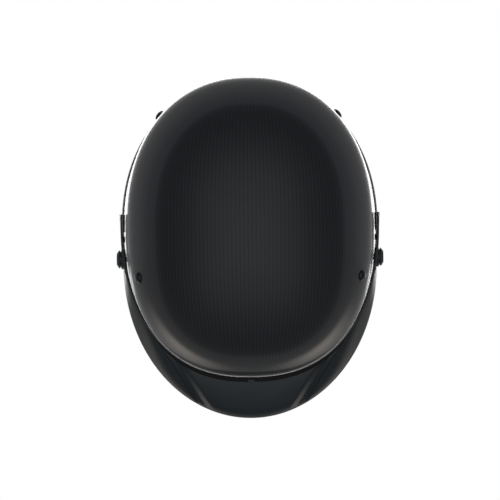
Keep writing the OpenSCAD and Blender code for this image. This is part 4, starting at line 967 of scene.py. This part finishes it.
def makeVisor():
    half = visorHalf()
    mirroredHalf = [(Vector((-b.x, b.y)), Vector((-f.x, f.y)), relief, 180 - turn)
                    for b, f, relief, turn in reversed(half[1:])]
    stations = mirroredHalf + half
    bm = bmesh.new()
    top = gridMesh(bm, [visorRow(s, False) for s in stations])
    below = gridMesh(bm, [visorRow(s, True) for s in stations], flip=True)
    closeSides(bm, top, below)
    rimEdges = [e for e in bm.edges if len(e.link_faces) == 2 and e.calc_face_angle(0) > math.radians(55)]
    bmesh.ops.bevel(bm, geom=rimEdges, offset=0.9, segments=3, profile=0.5, affect="EDGES", clamp_overlap=True)
    return finish("peakVisor", bm, visorPlastic, "visor", replaces=("visor",), sharp=28)


def solidPart(piece, operation, bm):
    # Joins a solid to a piece, or cuts it out
    bmesh.ops.scale(bm, vec=(mm, mm, mm), verts=bm.verts)
    bmesh.ops.recalc_face_normals(bm, faces=bm.faces)
    mesh = bpy.data.meshes.new("tool")
    bm.to_mesh(mesh)
    bm.free()
    tool = linked(bpy.data.objects.new("tool", mesh))
    cut = piece.modifiers.new("cut", "BOOLEAN")
    cut.operation, cut.object, cut.solver = operation, tool, "EXACT"
    bake(piece)
    bpy.data.objects.remove(tool)


def bake(piece):
    # Applies the piece's modifiers to its mesh
    bpy.context.view_layer.update()
    done = bpy.data.meshes.new_from_object(piece.evaluated_get(bpy.context.evaluated_depsgraph_get()))
    piece.modifiers.clear()
    piece.data = done


def alongAxis(x, sign=1):
    # Place on the visor's axis, x from the middle, with +Z outwards
    return Matrix.Translation((sign * x, visorAxis.y, visorAxis.z)) @ Matrix.Rotation(sign * math.pi / 2, 4, "Y")


fixing = {"screw": 5, "clear": 0.05, "boss": 18, "bossRound": 0.6, "sink": 0.6}


def fitVisor(piece):
    # Centre tab, flat bosses round the screws and their bores
    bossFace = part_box("left_washer")[0].x / mm - 0.1
    armBack = backEdge(templeAngle).x
    tab = bmesh.new()
    back = -shell["halfLength"] - visor["browGap"] - 1
    top = visor["backHeight"] + visor["bladeRise"]
    size = (2 * visor["tabHalf"], visor["browGap"] - visor["tabGap"] + 1, visor["wall"])
    bmesh.ops.create_cube(tab, size=1, matrix=Matrix.Translation((0, back + size[1] / 2, top - size[2] / 2))
                          @ Matrix.Diagonal((*size, 1)))
    bmesh.ops.bevel(tab, geom=list(tab.edges), offset=0.5, segments=3, profile=0.5, affect="EDGES")
    solidPart(piece, "UNION", tab)
    for sign in (1, -1):
        boss, bore = bmesh.new(), bmesh.new()
        r, turn = fixing["boss"] / 2, fixing["bossRound"]
        start, high = armBack + fixing["sink"], bossFace - armBack - fixing["sink"]
        lathe(boss, [(r, 0), (r, high - turn)] + [(r - turn + turn * math.cos(a), high - turn + turn * math.sin(a))
              for a in (math.pi / 8, math.pi / 4, 3 * math.pi / 8, math.pi / 2)], 64, alongAxis(start, sign))
        solidPart(piece, "UNION", boss)
        hole = fixing["screw"] / 2 + fixing["clear"]
        lathe(bore, [(hole, 0), (hole, 30)], 48, alongAxis(armBack - 10, sign))
        solidPart(piece, "DIFFERENCE", bore)
    piece.data.set_sharp_from_angle(angle=math.radians(28))


fitVisor(makeVisor())
print("visor made")


# Fixings: the CAD's own solids where their shape is right, with their edges softened where they show

for node in ("left_screw", "right_screw", "visor_inserts", "rivet_washers", "lever_pin"):
    paint(node, bareSteel)
for node in ("left_washer", "right_washer"):
    paint(node, blackSteel)
paint("visor_spacers", rubber)
knob = {"radius": 8.2, "face": 5.2, "edge": 1.1, "height": 3.2, "flutes": 14, "flute": 0.3, "slot": (1.8, 1.2)}


def knobPiece(side, sign):
    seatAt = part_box("left_washer")[1].x / mm + 0.1
    place = alongAxis(seatAt, sign)

    def fluted(radius, height, a):
        wave = max(0.0, math.cos(knob["flutes"] * a)) ** 2
        return radius - knob["flute"] * wave * clamp((radius - knob["face"]) / 2)

    rim, face, top = knob["radius"], knob["face"], knob["height"]
    profile = [(2.55, 0.15), (rim - 0.3, 0.15), (rim, 0.4), (rim, knob["edge"] - 0.15),
               (rim - 0.15, knob["edge"] + 0.05)]
    profile += [(mix(rim, face, w), mix(knob["edge"], top, w)) for w in (0.2, 0.4, 0.6, 0.8, 0.95)]
    profile += [(face - 0.2, top - 0.02), (face - 0.6, top), (1.2, top)]
    bm = bmesh.new()
    lathe(bm, profile, knob["flutes"] * 12, place, fluted)
    piece = finish(f"{side}ThumbscrewKnob", bm, knobPlastic, f"{side}_thumbscrew", replaces=(f"{side}_knob",))
    wide, deep = knob["slot"]
    slot, bore = bmesh.new(), bmesh.new()
    bmesh.ops.create_cube(slot, size=1, matrix=place @ Matrix.Translation((0, 0, top - deep + 5))
                          @ Matrix.Diagonal((wide, 40, 10, 1)))
    solidPart(piece, "DIFFERENCE", slot)
    lathe(bore, [(2.5, -1), (2.5, knob["edge"])], 32, place)
    solidPart(piece, "DIFFERENCE", bore)
    piece.data.set_sharp_from_angle(angle=math.radians(30))


for side, sign in (("left", 1), ("right", -1)):
    knobPiece(side, sign)
    softenedCopy(f"{side}_divider", f"{side}StrapDivider", nylon, "helmet", width=0.45)
softenedCopy("visor_bumpers", "armBumpers", rubber, "visor", width=0.7, sharp=50)
softenedCopy("buckle_housing", "buckleHousing", nylon, "helmet", width=0.45)
softenedCopy("buckle_lever", "buckleLever", bareSteel, "lever", width=0.3)
softenedCopy("ratchet_tongue", "ratchetTongue", nylon, "tongue", width=0.22, segments=2)
softenedCopy("strap_slider", "strapSlider", blackSteel, "slider", width=0.3)
softenedCopy("strap_keeper", "strapKeeper", rubber, "keeper", width=0.4)
print("fixings and buckle made")


# Strap rivets and stitches

def newTree(name, sockets):
    # A tree that takes and gives a geometry, with named inputs; returns it with its input and output nodes
    tree = bpy.data.node_groups.new(name, "GeometryNodeTree")
    tree.interface.new_socket(name="Geometry", in_out="INPUT", socket_type="NodeSocketGeometry")
    tree.interface.new_socket(name="Geometry", in_out="OUTPUT", socket_type="NodeSocketGeometry")
    for label, kind in [(label, "Float") for label in sockets] + [("Material", "Material")]:
        tree.interface.new_socket(name=label, in_out="INPUT", socket_type=f"NodeSocket{kind}")
    return tree, addNode(tree, "NodeGroupInput").outputs, addNode(tree, "NodeGroupOutput")


def closeTree(tree, given, made, geometry):
    real = addNode(tree, "GeometryNodeRealizeInstances", geometry)
    plug(made, {0: addNode(tree, "GeometryNodeSetMaterial", {"Geometry": real, "Material": given["Material"]})})
    return tree


def runTree(tree, name, points, edges, vectors, values):
    # Mesh of points in millimetres with a vector on each, put through the tree and baked to a plain mesh
    mesh = bpy.data.meshes.new(name)
    mesh.from_pydata([tuple(p * mm) for p in points], edges, [])
    facing = mesh.attributes.new("facing", "FLOAT_VECTOR", "POINT")
    facing.data.foreach_set("vector", [c for v in vectors for c in v])
    piece = linked(bpy.data.objects.new(name, mesh))
    nodes = piece.modifiers.new(tree.name, "NODES")
    nodes.node_group = tree
    for item in tree.interface.items_tree:
        if item.in_out == "INPUT" and item.name in values:
            value = values[item.name]
            nodes[item.identifier] = value if isinstance(value, bpy.types.Material) else value * mm
    bake(piece)
    return piece


rivet = {
    "head": 10.4, "rise": 2.8, "shank": 4.8, "lift": 0.2, "washer": 0.8, "gap": 0.7, "tail": 0.8, "spread": 1.2,
}


def rivetTree():
    tree, given, made = newTree("rivetsOnPoints", [
        "Head Radius", "Head Rise", "Lift", "Shank Radius", "Shank Length", "Tail Radius", "Tail Height"])
    dome = addNode(tree, "GeometryNodeMeshUVSphere", 48, 24, 1.0)
    x, y, z = addNode(tree, "ShaderNodeSeparateXYZ", addNode(tree, "GeometryNodeInputPosition")).outputs
    level = addNode(tree, "ShaderNodeMath", z, 0.0, operation="MAXIMUM")
    half = addNode(tree, "GeometryNodeSetPosition", {
        "Geometry": dome, "Position": addNode(tree, "ShaderNodeCombineXYZ", x, y, level)})
    wide = addNode(tree, "ShaderNodeCombineXYZ", given["Head Radius"], given["Head Radius"], given["Head Rise"])
    head = addNode(tree, "GeometryNodeTransform", {"Geometry": half, "Scale": wide})
    shank = addNode(tree, "GeometryNodeMeshCylinder", {
        "Vertices": 32, "Radius": given["Shank Radius"], "Depth": given["Shank Length"]})
    middle = addNode(tree, "ShaderNodeMath", given["Shank Length"], -0.5, given["Lift"], operation="MULTIPLY_ADD")
    tail = addNode(tree, "GeometryNodeMeshCone", {
        "Vertices": 32, "Radius Top": given["Tail Radius"], "Depth": given["Tail Height"],
        "Radius Bottom": addNode(tree, "ShaderNodeMath", given["Tail Radius"], 0.8, operation="MULTIPLY")})
    under = addNode(tree, "ShaderNodeMath", given["Lift"], given["Shank Length"], operation="SUBTRACT")
    low = addNode(tree, "ShaderNodeMath", under, given["Tail Height"], operation="SUBTRACT")
    whole = addNode(tree, "GeometryNodeJoinGeometry")
    for part, height in ((head, given["Lift"]), (shank, middle), (tail, low)):
        lift = addNode(tree, "ShaderNodeCombineXYZ", {"Z": height})
        plug(whole, {0: addNode(tree, "GeometryNodeTransform", {"Geometry": part, "Translation": lift})})
    smooth = addNode(tree, "GeometryNodeSetShadeSmooth", whole)
    facing = addNode(tree, "GeometryNodeInputNamedAttribute", {"Name": "facing"}, data_type="FLOAT_VECTOR")
    aim = addNode(tree, "FunctionNodeAlignRotationToVector", {"Vector": facing}, axis="Z")
    return closeTree(tree, given, made, addNode(tree, "GeometryNodeInstanceOnPoints", {
        "Points": given["Geometry"], "Instance": smooth, "Rotation": aim}))


rivetSpots = [(wallPoint(*leg["rivet"]), wallNormal(*leg["rivet"])) for leg in legs.values()]
rivetSpots += [(mirrorX(p), mirrorX(n)) for p, n in rivetSpots]
rivets = runTree(rivetTree(), "strapRivets", [p for p, n in rivetSpots], [], [n for p, n in rivetSpots], {
    "Head Radius": rivet["head"] / 2, "Head Rise": rivet["rise"], "Lift": rivet["lift"],
    "Shank Radius": rivet["shank"] / 2,
    "Shank Length": webAtRivet + web["thick"] / 2 + rivet["gap"] + rivet["washer"] + rivet["lift"],
    "Tail Radius": rivet["shank"] / 2 + rivet["spread"], "Tail Height": rivet["tail"], "Material": blackSteel})
rivets.data.set_sharp_from_angle(angle=math.radians(40))
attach(rivets, "helmet")
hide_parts("strap_rivets")
print("rivets made")


def stitchTree():
    tree, given, made = newTree("stitchesAlongEdges", ["Spacing", "Stitch Length", "Thread"])
    seam = addNode(tree, "GeometryNodeMeshToCurve", given["Geometry"])
    even = addNode(tree, "GeometryNodeResampleCurve", {"Curve": seam, "Length": given["Spacing"]}, mode="LENGTH")
    bead = addNode(tree, "GeometryNodeMeshUVSphere", 8, 5, 1.0)
    half = addNode(tree, "ShaderNodeMath", given["Stitch Length"], 0.5, operation="MULTIPLY")
    along = addNode(tree, "FunctionNodeAlignRotationToVector", {
        "Vector": addNode(tree, "GeometryNodeInputTangent")}, axis="X")
    return closeTree(tree, given, made, addNode(tree, "GeometryNodeInstanceOnPoints", {
        "Points": even, "Instance": addNode(tree, "GeometryNodeSetShadeSmooth", bead), "Rotation": along,
        "Scale": addNode(tree, "ShaderNodeCombineXYZ", half, given["Thread"], given["Thread"])}))


stitches = stitchTree()


def sew(name, lines, spacing=3.4, length=2.5, thickness=0.28, closed=False):
    points, edges = [], []
    for line in lines:
        first = len(points)
        points += line
        edges += [(first + i, first + i + 1) for i in range(len(line) - 1)]
        if closed:
            edges.append((len(points) - 1, first))
    row = runTree(stitches, name, points, edges, [(0, 0, 1)] * len(points), {
        "Spacing": spacing, "Stitch Length": length, "Thread": thickness, "Material": thread})
    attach(row, "helmet")


# Webbing: the four legs, the short strap, the long strap and the release tab

hang = {
    "out": 80, "y": 14, "up": -34, "radius": 50, "straight": 73.1,  # the dividers, and the strap's bend
    "bar": (3, 3.2), "spread": 22, "gap": 0.3, "looseEnd": 50, "shortStrap": 13, "tail": 66.043,
}
chinUp = hang["up"] - math.sqrt(hang["straight"] ** 2 + hang["radius"] ** 2 - hang["out"] ** 2)
lean = (math.acos(hang["radius"] / math.hypot(hang["out"], hang["up"] - chinUp))
        - math.atan2(hang["up"] - chinUp, hang["out"]))
outAxis, upAxis = Vector((math.cos(lean), 0, -math.sin(lean))), Vector((math.sin(lean), 0, math.cos(lean)))
rearwards = Vector((0, 1, 0))
barLoop = math.hypot(*hang["bar"]) / 2 + hang["gap"] + web["thick"] / 2
layerGap = web["thick"] + hang["gap"]


def sidePoint(out, y, up):
    return Vector((hang["out"], hang["y"], hang["up"])) + outAxis * out + Vector((0, y, 0)) + upAxis * up


def arc(radius, start, stop, step, up=0):
    # Points of a circle from one angle to another in degrees
    turns = [math.radians(a) for a in range(start, stop + (1 if step > 0 else -1), step)]
    return [(radius * math.cos(a), up + radius * math.sin(a)) for a in turns]


def headings(route):
    # Direction at each point of a route, from the point before it to the one after
    points = [Vector(p) for p in route]
    return [(after - before).normalized() for before, after in zip(points[:1] + points, points[1:] + points[-1:])]


def legInDivider(leg):
    turn = math.radians(leg["slotTurn"])
    along = Vector((0, math.sin(-turn), 0)) + upAxis * math.cos(turn)
    across = Vector((0, math.cos(turn), 0)) - upAxis * math.sin(-turn)
    close, join = web["thick"] / 2, 3 * barLoop
    over, high = 2.6 + hang["bar"][0] / 2 + 0.2, hang["bar"][1] / 2 + close + 0.2
    route = [(web["sewn"] + web["thick"], close + 0.6), (join, close + 0.3), (over, high)]
    route += [(far, out) for out, far in arc(barLoop, 30, -210, -10)]
    route += [(over, -high), (join, -close), (web["sewn"], -close)]
    return [(sidePoint(out, 0, 0) + along * (hang["spread"] + far), across, along * d.y - outAxis * d.x)
            for (far, out), d in zip(route, headings(route))]


def between(a, b, steps):
    # Stations that go evenly from one to the next
    return [tuple(p.lerp(q, s / steps) if k == 0 else p.lerp(q, s / steps).normalized()
                  for k, (p, q) in enumerate(zip(a, b))) for s in range(1, steps)]


def boxStitch(ends, lift):
    # Corners of a sewn box with a cross, on the face of the webbing
    (p, x, n), (q, x2, n2) = ends
    half = web["width"] / 2 - 2.5
    run = (q - p).normalized() * 2
    corners = [p + run + x * half + n * lift, q - run + x2 * half + n2 * lift,
               q - run - x2 * half + n2 * lift, p + run - x * half + n * lift]
    return [corners + [corners[0], corners[2]], [corners[1], corners[3]]]


seams = []
for legName, leg in legs.items():
    onWall, inDivider = legOnWall(leg), legInDivider(leg)
    stations = onWall + between(onWall[-1], inDivider[0], 12) + inDivider
    for side, turn in (("left", lambda v: v), ("right", mirrorX)):
        webPiece(f"{side}{legName.capitalize()}Leg", [tuple(turn(v) for v in s) for s in stations], webCloth,
                 "helmet", (f"{side}_{legName}_leg",), web["width"], web["thick"])
        seams += boxStitch([tuple(turn(v) for v in s) for s in inDivider[:2]], web["thick"] / 2)

ovalEnds = []
for middle, start in ((0, 0), (-hang["shortStrap"], 180)):
    ovalEnds += [(sidePoint(barLoop * c, 0, middle + barLoop * s), rearwards, outAxis * c + upAxis * s)
                 for c, s in arc(1, start, start + 180, 12)]
webPiece("shortStrap", ovalEnds, webCloth, "helmet", ("short_strap",), web["width"], web["thick"], closed=True)


def flatStations(route):
    # Stations along a route in the strap's own plane
    return [(p, rearwards, Vector((-d.z, 0, d.x))) for p, d in zip(route, headings(route))]


def longRoute():
    # Up from the loose end, round the right divider's bar, under the chin and round the tongue's bar
    near = -9.5  # where the layers lie flat again below the divider's bar
    right = [(layerGap, -hang["looseEnd"] + 4 * k) for k in range(10)] + [(layerGap, near), (barLoop - 0.2, -4)]
    right += arc(barLoop, 0, 180, 10) + [(0.2 - barLoop, -4), (0, near)]
    right += [(0, near - (hang["straight"] - 15.5) * k / 12) for k in range(1, 13)]
    under = []
    for i in range(73):
        a = mix(lean - math.pi / 2, math.pi / 2 - lean, i / 72)
        under.append(Vector((hang["radius"] * math.sin(a), hang["y"], chinUp - hang["radius"] * math.cos(a))))
    left = [(0.4 - barLoop, -hang["tail"] - 5)] + arc(barLoop, 180, 0, -10, up=-hang["tail"])
    left += [(barLoop - 0.4, -hang["tail"] - 5), (layerGap, -hang["tail"] - 8.5)]
    return ([mirrorX(sidePoint(out, 0, up)) for out, up in right] + under
            + [sidePoint(out, 0, up) for out, up in left])


longStrap = webPiece("longStrap", flatStations(longRoute()), webCloth, None, ("long_strap",), web["width"],
                     web["thick"])
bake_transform(longStrap)

lever = {"face": 8.4, "end": 52.05, "tabWidth": 14, "tabThick": 1.2}
tabRoute = [(1.1, 7), (1.1, 5.4), (1.1, 3.8), (0.5, 3.1), (-0.6, 2.6), (-2.0, 2.3), (-2.7, 1.5), (-2.9, 0.2),
            (-2.9, -2), (-2.2, -3.6), (-0.9, -5), (-0.75, -8), (-0.85, -11.5), (-0.9, -15)]
tabStations = [(sidePoint(lever["face"] + out, 0, up - lever["end"]), rearwards, outAxis * -d.y + upAxis * d.x)
               for (out, up), d in zip(tabRoute, headings(tabRoute))]
webPiece("releaseTab", tabStations, ribbonCloth, "lever", ("release_tab",), lever["tabWidth"], lever["tabThick"])
sew("strapStitches", seams, spacing=2.6, length=2.0, thickness=0.22)
print("webbing made")


# Chin pad: a sewn sleeve round the long strap

chin = {
    "thick": 4.2, "width": 34, "girth": 80, "right": 54, "left": 36, "slot": (10.4, 1.1),
    "endShare": 0.55, "gathers": 26, "gatherDepth": 0.05, "seams": (0.07, 0.43),
}


def chinSleeve(steps=96, sides=48):
    bm = bmesh.new()
    layer = bm.loops.layers.uv.new("weave")
    outer, inner = [], []
    for i in range(steps + 1):
        w = i / steps
        angle = math.radians(mix(-chin["right"], chin["left"], w))
        full = mix(chin["endShare"], 1, max(0, 1 - abs(2 * w - 1) ** 5) ** 0.5)
        seam = 1 - chin["gatherDepth"] * (0.5 + 0.5 * math.cos(2 * math.pi * chin["gathers"] * w))
        rings = ([], [])
        for k in range(sides):
            b = 2 * math.pi * k / sides
            edge = abs(math.cos(b)) ** 6
            thick = (web["thick"] / 2 + chin["thick"] * full * mix(1, seam, edge)) * signedPower(math.sin(b), 0.7)
            across = chin["width"] / 2 * (0.9 + 0.1 * full) * mix(1, seam ** 0.4, edge)
            across *= signedPower(math.cos(b), 0.5)
            slot = (chin["slot"][1] * signedPower(math.sin(b), 0.3),
                    chin["slot"][0] * signedPower(math.cos(b), 0.3))
            for ring, (out, y) in zip(rings, ((thick, across), slot)):
                r = hang["radius"] + out
                ring.append(Vector((r * math.sin(angle), hang["y"] + y, chinUp - r * math.cos(angle))))
        outer.append(rings[0])
        inner.append(rings[1])
    girth = chin["girth"] / sides
    length = hang["radius"] * math.radians(chin["right"] + chin["left"]) / steps

    def clothPoint(r, c):
        return c * girth / 100, r * length / 100

    rowsOut = gridMesh(bm, outer, closeAcross=True, uvLayer=layer, uv=clothPoint)
    rowsIn = gridMesh(bm, inner, closeAcross=True, uvLayer=layer, uv=clothPoint)
    for end in (0, -1):
        bridge(bm, rowsOut[end] + rowsOut[end][:1], rowsIn[end] + rowsIn[end][:1])
    bmesh.ops.recalc_face_normals(bm, faces=bm.faces)
    coverPad("chinPad", bm, "chin_pad", sharp=60)
    return [[ring[int(sides * share)] for ring in outer] for share in chin["seams"]]


sew("chinPadStitches", chinSleeve(), spacing=3.2, length=2.3, thickness=0.25)


# Lever spring: a round wire that stands on the housing's floor under the lever's heel

spring = {
    "wire": 0.5, "outer": 4, "turns": 3.0, "foot": 1.45, "top": 5.15, "up": 21.5932, "gap": 0.2, "keep": 0.5,
}


def springTree():
    tree, given, made = newTree("coilSpring", ["Radius", "Height", "Wire Radius"])
    coil = addNode(tree, "GeometryNodeCurveSpiral", {
        "Resolution": 32, "Rotations": spring["turns"], "Start Radius": given["Radius"],
        "End Radius": given["Radius"], "Height": given["Height"]})
    ring = addNode(tree, "GeometryNodeCurvePrimitiveCircle", {"Resolution": 12, "Radius": given["Wire Radius"]})
    tube = addNode(tree, "GeometryNodeCurveToMesh", {"Curve": coil, "Profile Curve": ring, "Fill Caps": True})
    return closeTree(tree, given, made, addNode(tree, "GeometryNodeSetShadeSmooth", tube))


leverSpring = runTree(springTree(), "leverSpring", [Vector((0, 0, 0))], [], [(0, 0, 1)], {
    "Radius": (spring["outer"] - spring["wire"]) / 2, "Wire Radius": spring["wire"] / 2,
    "Height": spring["top"] + spring["foot"] - spring["wire"] - spring["gap"], "Material": bareSteel})
springFoot = sidePoint(-spring["foot"] + spring["wire"] / 2, 0, -spring["up"])
place = Matrix((outAxis.cross(rearwards), rearwards, outAxis)).transposed().to_4x4()
leverSpring.data.transform(Matrix.Translation(springFoot * mm) @ place)
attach(leverSpring, "helmet")
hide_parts("lever_spring")
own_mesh(leverSpring)
print("chin pad and spring made")


# Piping and stitches on the pads

headMiddle = Vector((0, 0, 60))


def pipe(name, loop, radius=1.0, sides=10):
    bm = bmesh.new()
    count = len(loop)
    grid = []
    for i, p in enumerate(loop):
        run = (loop[(i + 1) % count] - loop[i - 1]).normalized()
        inwards = (headMiddle - p).normalized()
        a = run.cross(inwards).normalized()
        b = run.cross(a).normalized()
        grid.append([p + (a * math.cos(t) + b * math.sin(t)) * radius
                     for t in (2 * math.pi * k / sides for k in range(sides))])
    gridMesh(bm, grid, closeAcross=True, closeAlong=True)
    bmesh.ops.recalc_face_normals(bm, faces=bm.faces)
    finish(name, bm, leatherette, "helmet")


for padName, border, inset in padEdges:
    pipe(padName + "Piping", border)
    sew(padName + "Stitches", [inset], closed=True)
print("piping and stitches made")
